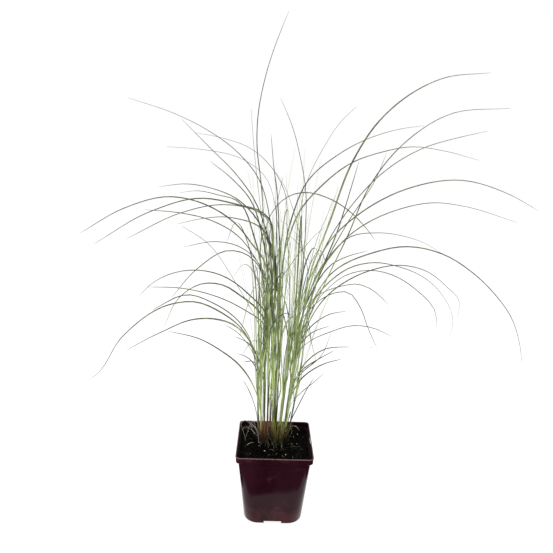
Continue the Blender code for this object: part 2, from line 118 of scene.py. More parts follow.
# Leaves. Each grows from its shoot at leaves_at, a height over the floor, and arches in its own upright
# plane through the middle of the crown, whose heading is in degrees from +X towards the back. The way
# lists (reach from the crown, height over the floor). Tint goes from 0, dark, to 1, fresh green.
# The ways of leaf_left_01 to leaf_left_11 rise closer to the crown than the frame's solids do.
Leaf = namedtuple("Leaf", "name shoot leaves_at heading width tint way")
LEAVES = (
    Leaf("leaf_left_01", "shoot_middle_1", 262, 186, 4.2, 0.55,
         ((14, 420), (27, 454), (43, 473), (63, 499), (119, 536), (173, 547),
          (244, 528), (314, 487))),
    Leaf("leaf_left_02", "shoot_middle_2", 278, 170, 4.0, 0.2,
         ((9, 478), (15, 514), (32, 527), (65, 535), (130, 544), (222, 518), (328, 457))),
    Leaf("leaf_left_03", "shoot_middle_1", 296, 202, 3.6, 0.4,
         ((12, 484), (19, 514), (36, 527), (67, 536), (101, 538), (159, 526), (241, 488))),
    Leaf("leaf_left_04", "shoot_middle_2", 305, 160, 3.4, 0.3,
         ((20, 482), (37, 511), (69, 541), (125, 561), (167, 566), (227, 559))),
    Leaf("leaf_left_05", "shoot_middle_3", 262, 214, 3.6, 0.35,
         ((27, 427), (47, 458), (73, 488), (125, 517), (170, 528), (226, 534))),
    Leaf("leaf_left_06", "shoot_left_3", 256, 152, 3.2, 0.2,
         ((12, 470), (24, 492), (44, 504), (74, 510), (102, 512), (157, 505), (210, 492))),
    Leaf("leaf_left_07", "shoot_left_2", 240, 207, 3.6, 0.3,
         ((24, 428), (44, 455), (68, 472), (107, 482), (160, 476))),
    Leaf("leaf_left_08", "shoot_left_1", 266, 194, 3.4, 0.15,
         ((20, 412), (34, 441), (56, 459), (80, 464), (131, 436), (174, 388))),
    Leaf("leaf_left_09", "shoot_left_1", 228, 177, 3.8, 0.3,
         ((23, 364), (46, 386), (65, 402), (87, 415), (135, 425),
          (213, 398), (236, 374))),
    Leaf("leaf_left_10", "shoot_left_2", 222, 212, 3.6, 0.35,
         ((27, 344), (58, 367), (91, 387), (119, 400), (170, 416), (222, 423))),
    Leaf("leaf_left_11", "shoot_left_3", 240, 164, 3.6, 0.2,
         ((24, 349), (36, 362), (65, 381), (92, 395), (126, 397), (180, 365), (210, 308))),
    Leaf("leaf_left_12", "shoot_left_2", 205, 223, 3.2, 0.4,
         ((78, 353), (133, 395), (179, 414), (236, 400))),
    Leaf("leaf_left_13", "shoot_left_1", 202, 184, 4.0, 0.25,
         ((60, 331), (94, 357), (136, 374), (170, 371), (255, 314), (304, 243), (314, 236))),
    Leaf("leaf_left_14", "shoot_left_3", 222, 153, 3.8, 0.15,
         ((84, 322), (122, 326), (161, 320), (249, 278), (338, 225))),
    Leaf("leaf_left_15", "shoot_left_2", 180, 219, 3.2, 0.3,
         ((43, 233), (73, 278), (112, 313), (148, 338), (203, 361))),
    Leaf("leaf_left_16", "shoot_middle_3", 240, 228, 3.2, 0.45,
         ((99, 427), (153, 489), (197, 515))),
    Leaf("leaf_top_1", "shoot_middle_4", 330, 25, 4.0, 0.6,
         ((-22, 480), (-33, 576), (-41, 628), (-41, 671), (-31, 728), (-3, 809), (6, 830))),
    Leaf("leaf_top_2", "shoot_middle_2", 322, 165, 3.6, 0.45,
         ((12, 500), (39, 584), (70, 618), (128, 656), (177, 678), (269, 706))),
    Leaf("leaf_top_3", "shoot_middle_5", 280, 140, 3.6, 0.4,
         ((20, 480), (55, 544), (97, 584), (161, 628), (243, 684))),
    Leaf("leaf_top_4", "shoot_right_1", 300, 172, 3.6, 0.35,
         ((-14, 500), (-8, 560), (12, 595), (43, 623), (101, 643), (141, 649))),
    Leaf("leaf_top_5", "shoot_middle_3", 288, 200, 3.4, 0.4,
         ((0, 500), (31, 589), (67, 610), (123, 620), (179, 622))),
    Leaf("leaf_top_6", "shoot_middle_1", 312, 212, 3.4, 0.5,
         ((24, 470), (39, 556), (50, 630), (56, 683))),
    Leaf("leaf_top_7", "shoot_right_2", 300, 160, 3.4, 0.4,
         ((-46, 500), (-43, 568), (-34, 609), (-19, 658), (3, 704))),
    Leaf("leaf_right_01", "shoot_right_2", 318, 35, 3.4, 0.4,
         ((40, 500), (58, 581), (90, 635), (119, 673), (159, 707))),
    Leaf("leaf_right_02", "shoot_right_3", 310, 12, 4.4, 0.6,
         ((60, 430), (87, 508), (123, 613), (160, 673), (203, 714), (270, 751), (360, 767))),
    Leaf("leaf_right_03", "shoot_right_3", 282, -8, 4.2, 0.5,
         ((80, 410), (114, 494), (145, 577), (189, 638), (255, 684), (340, 694))),
    Leaf("leaf_right_04", "shoot_right_5", 262, -22, 3.8, 0.35,
         ((79, 471), (129, 556), (156, 587), (220, 631), (264, 645), (301, 654))),
    Leaf("leaf_right_05", "shoot_middle_5", 296, 28, 3.6, 0.3,
         ((26, 520), (48, 571), (115, 625), (171, 652), (244, 674), (301, 684))),
    Leaf("leaf_right_06", "shoot_middle_4", 290, 18, 4.0, 0.35,
         ((18, 480), (37, 529), (72, 569), (127, 610), (180, 629), (239, 641), (309, 637), (385, 624))),
    Leaf("leaf_right_07", "shoot_right_1", 272, -4, 4.0, 0.45,
         ((60, 430), (88, 486), (131, 529), (212, 574), (282, 587), (364, 567), (410, 544))),
    Leaf("leaf_right_08", "shoot_right_2", 285, 8, 4.0, 0.35,
         ((88, 450), (119, 488), (152, 512), (207, 536), (267, 548), (317, 544), (427, 517))),
    Leaf("leaf_right_09", "shoot_middle_3", 294, -28, 4.8, 0.0,
         ((-25, 442), (-24, 479), (-20, 510), (-6, 534), (15, 552), (42, 560), (83, 554), (118, 537),
          (145, 515), (163, 496))),
    Leaf("leaf_right_10", "shoot_right_4", 262, 24, 3.4, 0.25,
         ((100, 450), (136, 481), (197, 489), (256, 482), (312, 466), (355, 445))),
    Leaf("leaf_right_11", "shoot_right_6", 238, -12, 4.4, 0.3,
         ((66, 390), (92, 432), (155, 469), (206, 482), (260, 474), (310, 446), (343, 417),
          (372, 381), (388, 343), (396, 310))),
    Leaf("leaf_right_12", "shoot_right_4", 245, 15, 3.8, 0.35,
         ((92, 405), (128, 430), (177, 440), (225, 432), (277, 412), (321, 377), (351, 321), (348, 296))),
    Leaf("leaf_right_13", "shoot_right_3", 240, 1, 4.0, 0.25,
         ((94, 396), (152, 432), (210, 444), (252, 435), (289, 409), (314, 383), (312, 355))),
    Leaf("leaf_right_14", "shoot_right_5", 246, -30, 3.4, 0.3,
         ((90, 408), (124, 438), (167, 450), (198, 446), (231, 430), (262, 400), (265, 379))),
    Leaf("leaf_right_15", "shoot_right_5", 218, -48, 3.2, 0.2,
         ((88, 401), (145, 431), (165, 437), (193, 435), (216, 424), (225, 418))),
    Leaf("leaf_right_16", "shoot_right_1", 225, -18, 3.4, 0.25,
         ((64, 375), (90, 397), (122, 404), (141, 383), (156, 350), (166, 330), (172, 320), (160, 316))),
    Leaf("leaf_right_17", "shoot_right_1", 212, -40, 3.2, 0.2,
         ((60, 311), (113, 349), (154, 368), (185, 371), (217, 365))),
    Leaf("leaf_front_1", "shoot_middle_3", 220, -100, 3.4, 0.5,
         ((60, 380), (120, 430), (190, 440), (262, 400))),
    Leaf("leaf_front_2", "shoot_right_1", 188, -76, 3.4, 0.45,
         ((50, 340), (104, 380), (160, 386), (214, 350))),
    Leaf("leaf_back_1", "shoot_middle_5", 302, 84, 3.4, 0.4,
         ((50, 430), (110, 500), (180, 520), (268, 486))),
    Leaf("leaf_back_2", "shoot_left_3", 200, 112, 3.4, 0.4,
         ((46, 340), (100, 400), (160, 412), (236, 372))),
)

# Finer leaves that the frame has no node for, with the same columns.
SIDE_LEAVES = (
    Leaf("left", "shoot_left_3", 262, 143, 3.6, 0.3, ((50, 480), (84, 537), (135, 548), (186, 553), (236, 547))),
    Leaf("left", "shoot_left_2", 200, 240, 3.4, 0.3, ((55, 280), (109, 347), (151, 375))),
    Leaf("left", "shoot_left_1", 150, 200, 3.2, 0.1, ((35, 195), (45, 222), (56, 242))),
    Leaf("left", "shoot_left_1", 215, 170, 3.2, 0.3, ((33, 256), (45, 271), (68, 278))),
    Leaf("left", "shoot_left_2", 225, 215, 3.2, 0.3, ((32, 262), (44, 278), (64, 281))),
    Leaf("left", "shoot_left_3", 230, 150, 3.2, 0.3, ((35, 272), (52, 291), (84, 299))),
    Leaf("top", "shoot_left_3", 262, 140, 3.6, 0.3, ((30, 470), (64, 544), (103, 574), (164, 607))),
    Leaf("top", "shoot_middle_4", 322, 195, 3.8, 0.6, ((-2, 480), (4, 556), (11, 599), (17, 649))),
    Leaf("top", "shoot_middle_2", 310, 300, 4.2, 0.7, ((-5, 480), (-4, 547), (9, 583))),
    Leaf("right", "shoot_right_4", 255, 35, 3.6, 0.4, ((88, 400), (134, 498), (150, 543), (174, 615))),
    Leaf("right", "shoot_right_5", 255, -25, 3.2, 0.4, ((72, 420), (118, 520), (157, 588), (169, 623))),
    Leaf("right", "shoot_right_4", 165, 30, 3.4, 0.2, ((56, 224), (101, 245), (150, 249))),
    Leaf("right", "shoot_right_4", 180, 35, 3.2, 0.2, ((59, 237), (103, 254), (143, 264))),
    Leaf("right", "shoot_right_5", 205, -45, 4.4, 0.1, ((60, 262), (96, 300), (103, 308), (108, 317), (120, 352))),
    Leaf("right", "shoot_right_3", 205, 12, 3.2, 0.3, ((65, 272), (93, 288), (119, 290), (142, 289))),
    Leaf("right", "shoot_right_4", 215, 45, 3.2, 0.3, ((60, 285), (92, 312), (138, 326), (205, 324))),
    Leaf("right", "shoot_right_4", 205, 40, 3.2, 0.3, ((45, 268), (80, 301), (140, 310))),
    Leaf("right", "shoot_right_5", 175, -35, 3.2, 0.1, ((40, 205), (55, 225), (81, 253), (99, 274))),
    Leaf("right", "shoot_right_4", 240, 35, 3.4, 0.3, ((75, 380), (122, 431), (161, 443), (213, 450))),
)

# Upright leaves inside the clump: how far back the tip stands, and (sideways, height) up the way.
Upright = namedtuple("Upright", "shoot leaves_at tip_y width tint way")
UPRIGHT_LEAVES = (
    Upright("shoot_left_1", 190, 12, 2.6, 0.2, ((-36, 230), (-39, 273), (-40, 315), (-41, 370))),
    Upright("shoot_left_2", 165, 5, 2.8, 0.2,
            ((-31, 236), (-28, 271), (-24, 305), (-20, 346), (-18, 383), (-17, 436), (-20, 480), (-23, 518))),
    Upright("shoot_left_3", 170, 24, 3.0, 0.3,
            ((-22, 225), (-21, 254), (-19, 295), (-17, 340), (-14, 378), (-15, 429))),
    Upright("shoot_left_2", 200, -6, 2.6, 0.1, ((-31, 290), (-26, 307), (-25, 331), (-23, 363), (-22, 391))),
    Upright("shoot_left_1", 235, 8, 2.4, 0.1, ((-34, 320), (-29, 339), (-25, 353), (-20, 375))),
    Upright("shoot_left_1", 135, 6, 2.2, 0.0, ((-37, 188), (-45, 210), (-55, 234))),
    Upright("shoot_middle_1", 180, 10, 3.9, 0.95,
            ((-6, 233), (-8, 275), (-11, 318), (-12, 380), (-12, 431), (-12, 480), (-13, 524))),
    Upright("shoot_middle_3", 175, -4, 3.8, 0.9,
            ((-12, 238), (-16, 280), (-16, 321), (-16, 387), (-15, 450), (-15, 507))),
    Upright("shoot_middle_4", 180, 10, 3.9, 0.95,
            ((8, 218), (5, 247), (-1, 275), (-4, 317), (-2, 357), (-2, 397), (-5, 441), (-3, 467))),
    Upright("shoot_middle_2", 190, 20, 3.3, 0.8,
            ((0, 231), (-5, 271), (-5, 315), (-6, 377), (-6, 413), (-6, 455), (-2, 469), (3, 489))),
    Upright("shoot_right_1", 165, 2, 3.6, 0.8,
            ((15, 222), (21, 251), (24, 272), (31, 313), (39, 348), (43, 374), (48, 401), (55, 432), (64, 459))),
    Upright("shoot_right_3", 170, 10, 3.6, 0.85,
            ((29, 219), (34, 255), (41, 290), (45, 318), (49, 345), (53, 373), (57, 399), (67, 431), (72, 469))),
    Upright("shoot_right_1", 195, -16, 2.6, 0.1,
            ((13, 283), (16, 308), (19, 323), (22, 351), (23, 377), (28, 398))),
    Upright("shoot_middle_5", 215, 38, 2.6, 0.3,
            ((11, 251), (12, 294), (13, 322), (17, 344), (20, 364), (19, 379), (13, 395), (9, 418))),
    Upright("shoot_middle_4", 238, 20, 2.4, 0.3, ((6, 316), (12, 336), (21, 349), (27, 363), (38, 378))),
    Upright("shoot_right_2", 285, 30, 2.8, 0.3, ((33, 386), (22, 420), (15, 436), (4, 454), (-1, 468), (-12, 486))),
    Upright("shoot_right_2", 270, 26, 3.0, 0.4,
            ((36, 379), (39, 420), (39, 453), (34, 479), (25, 511), (12, 548), (-1, 575), (-12, 591))),
    Upright("shoot_right_2", 280, 18, 2.8, 0.5,
            ((45, 404), (52, 446), (57, 471), (66, 501), (74, 521), (83, 547), (90, 565))),
    Upright("shoot_right_6", 235, 0, 3.0, 0.6, ((56, 406), (64, 449), (71, 471), (82, 496), (93, 514))),
    Upright("shoot_middle_5", 255, 34, 3.0, 0.2, ((6, 417), (17, 433), (30, 454), (43, 470), (60, 491), (77, 505))),
    Upright("shoot_middle_4", 300, 12, 2.6, 0.4, ((13, 423), (14, 454), (16, 474), (13, 489), (7, 511))),
    Upright("shoot_right_4", 262, 30, 2.6, 0.1,
            ((58, 426), (49, 445), (42, 465), (34, 478), (26, 491), (11, 504), (-3, 513))),
    Upright("shoot_right_2", 300, 14, 2.4, 0.1, ((44, 444), (37, 462), (28, 476), (15, 488), (0, 499))),
)

# Share of their full width at which the upright leaves are seen, as they are folded.
UPRIGHT_SHARE = 0.84

# Camera: where it stands, how far it looks down, turns right and rolls, and its lens on a 36 mm sensor.
CAMERA_PLACE = Vector((-0.018, -0.806, 0.5875))
CAMERA_DOWN = math.radians(11.56)
CAMERA_RIGHT = math.radians(0.87)
CAMERA_ROLL = math.radians(1.84)
LENS_MM = 32.55


def smooth_way(points, steps, start_direction=None):
    """Evenly spaced points on a smooth curve through the given ones."""
    chords = [after - before for before, after in zip(points, points[1:])]
    tangents = [(start_direction or chords[0]).normalized()]
    for before, after in zip(chords, chords[1:]):
        blended = before / before.length ** 2 + after / after.length ** 2
        tangents.append(blended.normalized())
    tangents.append(chords[-1].normalized())
    curve = []
    for i, chord in enumerate(chords):
        reach = chord.length / 3
        handle_out = points[i] + tangents[i] * reach
        handle_in = points[i + 1] - tangents[i + 1] * reach
        span = geometry.interpolate_bezier(points[i], handle_out, handle_in, points[i + 1], 13)
        curve += span if i == 0 else span[1:]
    curve = np.array([tuple(point) for point in curve])
    run = np.concatenate(([0.0], np.cumsum(np.linalg.norm(np.diff(curve, axis=0), axis=1))))
    even = np.linspace(0.0, run[-1], steps + 1)
    return [Vector([np.interp(s, run, curve[:, axis]) for axis in range(3)]) for s in even]


def way_length(way):
    return sum((after - before).length for before, after in zip(way, way[1:]))


def blend(start, end, share):
    """Goes from start to end as share goes from 0 to 1, and stays there past either."""
    share = min(1.0, max(0.0, share))
    return start + (end - start) * share * share * (3 - 2 * share)


def new_bmesh():
    """An empty bmesh with the layers that the plant's materials read."""
    bm = bmesh.new()
    bm.loops.layers.uv.new("UVMap")
    bm.verts.layers.float.new("tint")
    bm.verts.layers.float.new("dry")
    return bm


def finish_piece(bm, name, material, nodes=(), smooth_angle=50.0):
    """Turns a bmesh in millimetres into a piece in metres that rides with the clump."""
    bmesh.ops.transform(bm, matrix=Matrix.Scale(MM, 4), verts=bm.verts)
    bmesh.ops.recalc_face_normals(bm, faces=bm.faces)
    mesh = bpy.data.meshes.new(name)
    bm.to_mesh(mesh)
    bm.free()
    mesh.shade_smooth()
    mesh.set_sharp_from_angle(angle=math.radians(smooth_angle))
    mesh.materials.append(material)
    piece = bpy.data.objects.new(name, mesh)
    bpy.context.scene.collection.objects.link(piece)
    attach(piece, BODY)
    if nodes:
        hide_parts(*nodes)
    return piece


def add_bar(bm, way, sides):
    """A bar of so many sides with one ring of vertices for each point of the way.

    Gives (vertex, point number, sideways -1 to 1, up -1 to 1) for each vertex.
    """
    steps = len(way) - 1
    made = bmesh.ops.create_cone(bm, cap_ends=True, segments=sides, radius1=1.0, radius2=1.0, depth=1.0)
    edges = {edge for vert in made["verts"] for edge in vert.link_edges}
    long_edges = [e for e in edges if abs(e.verts[0].co.z - e.verts[1].co.z) > 0.5]
    cut = bmesh.ops.subdivide_edges(bm, edges=long_edges, cuts=steps - 1, use_grid_fill=True)
    inner = [part for part in cut["geom_inner"] if isinstance(part, bmesh.types.BMVert)]
    verts = {end for vert in inner for edge in vert.link_edges for end in edge.verts}
    return [(vert, round((vert.co.z + 0.5) * steps), vert.co.x, vert.co.y) for vert in verts]


def carried_sides(way, side):
    """The way's directions, and a side for each that turns only as much as the way does."""
    ahead, sides = [], []
    last = len(way) - 1
    for i in range(last + 1):
        along = (way[min(i + 1, last)] - way[max(i - 1, 0)]).normalized()
        side = (side - along * side.dot(along)).normalized()
        ahead.append(along)
        sides.append(side)
    return ahead, sides


Blade = namedtuple("Blade", "half_width half_angle roll thickness tint dry")


def add_blade(bm, way, side, blade, sides):
    """A blade whose cross-section is an arc, thickest along its midrib.

    half_width, half_angle and roll are functions of the share of the way, and half_angle says how far
    the arc closes: a whole turn of sheath is pi, a flat blade is near zero.
    """
    uv = bm.loops.layers.uv["UVMap"]
    tint = bm.verts.layers.float["tint"]
    dry = bm.verts.layers.float["dry"]
    ahead, along_sides = carried_sides(way, side)
    steps = len(way) - 1
    places = {}
    for vert, i, across, upper in add_bar(bm, way, sides):
        share = i / steps
        turn = blade.roll(share)
        plain_up = ahead[i].cross(along_sides[i])
        sideways = along_sides[i] * math.cos(turn) + plain_up * math.sin(turn)
        up = plain_up * math.cos(turn) - along_sides[i] * math.sin(turn)
        across *= abs(across)
        half_angle = blade.half_angle(share)
        radius = blade.half_width(share) / half_angle
        angle = across * half_angle
        thickness = blade.thickness * min(1.0, 4 * blade.half_width(share) / blade.thickness)
        outline = sideways * radius * math.sin(angle) + up * radius * (1 - math.cos(angle))
        surface = up * math.cos(angle) - sideways * math.sin(angle)
        vert.co = way[i] + outline + surface * (upper * thickness / 2)
        vert[tint] = blade.tint
        vert[dry] = blade.dry
        places[vert] = (0.5 + across / 2, share)
    for vert, place in places.items():
        for loop in vert.link_loops:
            loop[uv].uv = place


def taper(share, full_from=0.36, foot=0.42, tip=0.07, fullness=0.38):
    """Share of a leaf's full width: narrow at the foot, full by full_from, then tapering to the tip."""
    rise = foot + (1 - foot) * min(1.0, share / full_from)
    fall = (1 - max(0.0, share - full_from) / (1 - full_from)) ** fullness
    return max(tip, rise * fall)


def shoot_point(shoot, height):
    """The middle of a shoot at a height over the floor."""
    up = height - SOIL_TOP
    return Vector((shoot.foot[0] + shoot.lean[0] * up / 100, shoot.foot[1] + shoot.lean[1] * up / 100, height))


def shoot_radius(shoot, height):
    along = (height - SOIL_TOP) / shoot.length
    return shoot.thickness / 2 * (1 + (SHOOT_TIP - 1) * min(1.0, along))


def heading_vectors(heading):
    turn = math.radians(heading)
    outward = Vector((math.cos(turn), math.sin(turn), 0))
    side = Vector((-math.sin(turn), math.cos(turn), 0))
    return outward, side


SHEATH_LENGTH = 34.0
SHEATH_ANGLE = 2.2
BLADE_ANGLE = 0.8
SHEATH_CLEAR = 0.12
SHEATH_LAYER = 0.12
STEP_LENGTH = 13.0
ROLL_LENGTH = 70.0


def add_leaf(bm, leaf, layer, thickness, roll, sides, sheath=SHEATH_LENGTH):
    """A leaf that wraps its shoot with a sheath, then opens into an arching blade."""
    shoot = SHOOT_NAMED[leaf.shoot]
    outward, side = heading_vectors(leaf.heading)
    wrap = shoot_radius(shoot, leaf.leaves_at) + SHEATH_CLEAR + SHEATH_LAYER * layer
    stem = (shoot_point(shoot, 200.0) - shoot_point(shoot, 100.0)) / 100
    foot = shoot_point(shoot, leaf.leaves_at - sheath) + outward * wrap
    opens = shoot_point(shoot, leaf.leaves_at) + outward * wrap
    crown = Vector((CROWN_X, CROWN_Y, 0))
    points = [foot, opens] + [crown + outward * reach + Vector((0, 0, up)) for reach, up in leaf.way]
    rough = way_length(points)
    way = smooth_way(points, max(12, round(rough / STEP_LENGTH)), stem)
    length = way_length(way)

    def half_angle(share):
        return blend(SHEATH_ANGLE, BLADE_ANGLE, (share * length - sheath * 0.75) / 22.0)

    def half_width(share):
        run = share * length
        blade_share = max(0.0, run - sheath) / (length - sheath)
        open_width = leaf.width / 2 * taper(blade_share)
        return blend(SHEATH_ANGLE * wrap, open_width, (run - sheath * 0.75) / 22.0)

    def turned(share):
        return blend(0.0, roll, (share * length - sheath) / ROLL_LENGTH)

    add_blade(bm, way, side, Blade(half_width, half_angle, turned, thickness, leaf.tint, 0.0), sides)


def add_plain_blade(bm, points, width, look, thickness=0.3, roll=(0.0, 0.6), sides=4, dry=0.0, angle=0.6,
                    step=STEP_LENGTH, foot=0.55):
    """A blade with no sheath, through the given points. look is its tint and roll its turn at each end."""
    way = smooth_way(points, max(5, round(way_length(points) / step)))
    side = Vector((0, 0, 1)).cross(way[-1] - way[0])
    if side.length < 1.0:
        side = Vector((1, 0, 0))

    def half_width(share):
        return width / 2 * taper(share, 0.25, foot)

    def half_angle(share):
        return angle

    def turned(share):
        return blend(roll[0], roll[1], share)

    add_blade(bm, way, side.normalized(), Blade(half_width, half_angle, turned, thickness, look, dry), sides)


# Node helpers.


def add_node(tree, kind, **settings):
    node = tree.nodes.new(kind)
    for name, value in settings.items():
        setattr(node, name, value)
    return node


def feed(tree, socket, source):
    """Links a socket to another, or sets it to a plain value."""
    if isinstance(source, bpy.types.NodeSocket):
        tree.links.new(source, socket)
    else:
        socket.default_value = source


def maths(tree, operation, *values, clamp=False):
    node = add_node(tree, "ShaderNodeMath", operation=operation, use_clamp=clamp)
    for socket, value in zip(node.inputs, values):
        feed(tree, socket, value)
    return node.outputs[0]


def fade(tree, value, low, high, start=0.0, end=1.0):
    """Goes smoothly from start to end as value goes from low to high."""
    node = add_node(tree, "ShaderNodeMapRange", interpolation_type="SMOOTHSTEP")
    for name, given in (("Value", value), ("From Min", low), ("From Max", high), ("To Min", start), ("To Max", end)):
        feed(tree, node.inputs[name], given)
    return node.outputs["Result"]


def mix_colours(tree, share, first, second, blend_type="MIX"):
    node = add_node(tree, "ShaderNodeMix", data_type="RGBA", blend_type=blend_type)
    feed(tree, node.inputs["Factor"], share)
    feed(tree, node.inputs[6], first)
    feed(tree, node.inputs[7], second)
    return node.outputs[2]


def noise_value(tree, vector, scale, detail=3.0, roughness=0.5):
    node = add_node(tree, "ShaderNodeTexNoise")
    feed(tree, node.inputs["Vector"], vector)
    feed(tree, node.inputs["Scale"], scale)
    feed(tree, node.inputs["Detail"], detail)
    feed(tree, node.inputs["Roughness"], roughness)
    return node.outputs["Fac"]


def stretched(tree, vector, scale):
    node = add_node(tree, "ShaderNodeMapping")
    feed(tree, node.inputs["Vector"], vector)
    node.inputs["Scale"].default_value = scale
    return node.outputs["Vector"]


def new_group(name, inputs, outputs):
    """A shader node group with (name, kind, default) inputs and (name, kind) outputs."""
    group = bpy.data.node_groups.new(name, "ShaderNodeTree")
    for label, kind, default in inputs:
        socket = group.interface.new_socket(name=label, in_out="INPUT", socket_type=kind)
        if default is not None:
            socket.default_value = default
    for label, kind in outputs:
        group.interface.new_socket(name=label, in_out="OUTPUT", socket_type=kind)
    return group, group.nodes.new("NodeGroupInput").outputs, group.nodes.new("NodeGroupOutput").inputs


def place_group(tree, group, **values):
    node = add_node(tree, "ShaderNodeGroup", node_tree=group)
    for name, value in values.items():
        feed(tree, node.inputs[name.replace("_", " ")], value)
    return node.outputs


def new_material(name, roughness, **sockets):
    """A material, its tree and its shader, with uniform values set on the shader's own sockets."""
    material = bpy.data.materials.new(name)
    material.use_nodes = True
    shader = material.node_tree.nodes["Principled BSDF"]
    shader.inputs["Roughness"].default_value = roughness
    for label, value in sockets.items():
        shader.inputs[label.replace("_", " ")].default_value = value
    return material, material.node_tree, shader


def add_bump(tree, shader, height, distance, strength):
    bump = add_node(tree, "ShaderNodeBump")
    bump.inputs["Strength"].default_value = strength
    bump.inputs["Distance"].default_value = distance
    feed(tree, bump.inputs["Height"], height)
    tree.links.new(bump.outputs["Normal"], shader.inputs["Normal"])


COLOUR = "NodeSocketColor"
NUMBER = "NodeSocketFloat"
VECTOR = "NodeSocketVector"


def blade_group():
    """Midrib, veins, edges, foot and tip of a grass blade, from its own map and height over the floor, with painted
    shade on its edges and low down near the soil, and a lighter lower part that is partly painted light.
    """
    group, given, put = new_group(
        "Grass blade",
        (("Map", VECTOR, None), ("Place", VECTOR, None), ("Tint", NUMBER, 0.5), ("Dry", NUMBER, 0.0),
         ("Dark", COLOUR, (0.05, 0.07, 0.02, 1)), ("Fresh", COLOUR, (0.2, 0.32, 0.06, 1)),
         ("Pale", COLOUR, (0.6, 0.7, 0.4, 1)), ("Straw", COLOUR, (0.35, 0.26, 0.13, 1)),
         ("Midrib", NUMBER, 0.6), ("Veins", NUMBER, 0.3), ("Outer", NUMBER, 0.3),
         ("Ground", NUMBER, 0.16), ("Edge", NUMBER, 0.3),
         ("Base", NUMBER, 0.35)),
        (("Color", COLOUR), ("Rough", NUMBER), ("Height", NUMBER)),
    )
    tree = group
    map_parts = add_node(tree, "ShaderNodeSeparateXYZ")
    feed(tree, map_parts.inputs[0], given["Map"])
    place_parts = add_node(tree, "ShaderNodeSeparateXYZ")
    feed(tree, place_parts.inputs[0], given["Place"])
    across = maths(tree, "MULTIPLY", maths(tree, "ABSOLUTE", maths(tree, "SUBTRACT", map_parts.outputs[0], 0.5)), 2.0)
    along = map_parts.outputs[1]
    height = place_parts.outputs[2]
    blotch = noise_value(tree, stretched(tree, given["Place"], (1.0, 1.0, 0.35)), 70.0, 3.0, 0.6)
    fine = noise_value(tree, stretched(tree, given["Place"], (1.0, 1.0, 0.15)), 900.0, 2.0, 0.5)
    rib = fade(tree, across, 0.08, 0.2, 1.0, 0.0)
    wave = maths(tree, "SINE", maths(tree, "MULTIPLY", across, 26.0))
    vein = maths(tree, "MULTIPLY", maths(tree, "ADD", maths(tree, "MULTIPLY", wave, 0.5), 0.5), fine)
    outer = fade(tree, along, 0.25, 0.6, 1.0, given["Outer"])
    faded = maths(tree, "MULTIPLY", given["Tint"], outer)
    # Lighter towards the foot of the blade: partly the fresher green low in the clump, partly painted light that lifts
    # the shade inside it.
    faded = maths(tree, "ADD", faded, fade(tree, along, 0.18, 0.46, given["Base"], 0.0))
    lighter = maths(tree, "ADD", faded, fade(tree, blotch, 0.3, 0.7, -0.25, 0.25), clamp=True)
    colour = mix_colours(tree, lighter, given["Dark"], given["Fresh"])
    veined = maths(tree, "MULTIPLY", maths(tree, "MULTIPLY", vein, given["Veins"]), outer)
    colour = mix_colours(tree, veined, colour, given["Pale"])
    ribbed = maths(tree, "MULTIPLY", maths(tree, "MULTIPLY", rib, given["Midrib"]), outer)
    colour = mix_colours(tree, ribbed, colour, given["Pale"])
    # Painted shade: darker towards the sides of the map, on the rounded sides of stems and the margins of leaves.
    edge = fade(tree, across, 0.4, 0.9, 0.0, given["Edge"])
    colour = mix_colours(tree, edge, colour, (0.012, 0.016, 0.006, 1.0))
    tip = maths(tree, "ADD", along, fade(tree, blotch, 0.3, 0.7, -0.05, 0.05))
    browned = fade(tree, tip, 0.93, 1.0, 0.0, 0.85)
    specks = maths(tree, "MULTIPLY", fade(tree, noise_value(tree, given["Place"], 240.0, 2.0), 0.66, 0.72), 0.6)
    foot_low = maths(tree, "SUBTRACT", given["Ground"], 0.018)
    foot_high = maths(tree, "ADD", given["Ground"], 0.016)
    foot = fade(tree, height, foot_low, foot_high, 0.75, 0.0)
    straw = maths(tree, "MAXIMUM", maths(tree, "MAXIMUM", browned, specks), maths(tree, "MAXIMUM", foot, given["Dry"]))
    colour = mix_colours(tree, straw, colour, given["Straw"])
    # Painted shade: near black low down, from the height Ground to the soil.
    shaded = fade(tree, height, 0.12, given["Ground"], 0.95, 0.0)
    colour = mix_colours(tree, shaded, colour, (0.012, 0.011, 0.005, 1.0))
    feed(tree, put["Color"], colour)
    feed(tree, put["Rough"], fade(tree, blotch, 0.2, 0.8, 0.4, 0.62))
    feed(tree, put["Height"], maths(tree, "ADD", maths(tree, "MULTIPLY", vein, 0.5), rib))
    return group


def dust_and_sheen_group():
    """Where soil dust clings, and where its light red paints a lighter reflection: patches that thicken towards a low
    and a high edge of the piece.
    """
    group, given, put = new_group(
        "Clinging dust",
        (("Place", VECTOR, None), ("Low", NUMBER, 0.0), ("High", NUMBER, 0.13), ("Amount", NUMBER, 0.3)),
        (("Mask", NUMBER), ("Grain", NUMBER)),
    )
    tree = group
    parts = add_node(tree, "ShaderNodeSeparateXYZ")
    feed(tree, parts.inputs[0], given["Place"])
    height = parts.outputs[2]
    from_low = maths(tree, "SUBTRACT", height, given["Low"])
    from_high = maths(tree, "SUBTRACT", given["High"], height)
    near = maths(tree, "MAXIMUM", fade(tree, from_low, 0.0, 0.05, 1.2, 0.0), fade(tree, from_high, 0.0, 0.012, 0.6, 0.0))
    patches = noise_value(tree, given["Place"], 45.0, 5.0, 0.65)
    grain = noise_value(tree, given["Place"], 900.0, 3.0, 0.6)
    patchy = fade(tree, maths(tree, "ADD", patches, maths(tree, "MULTIPLY", near, 0.25)), 0.56, 0.84)
    mask = maths(tree, "MULTIPLY", maths(tree, "MULTIPLY", patchy, fade(tree, grain, 0.35, 0.6)), given["Amount"], clamp=True)
    feed(tree, put["Mask"], mask)
    feed(tree, put["Grain"], grain)
    return group


def group_named(name, maker):
    """A node group that is made the first time it is asked for."""
    return bpy.data.node_groups.get(name) or maker()


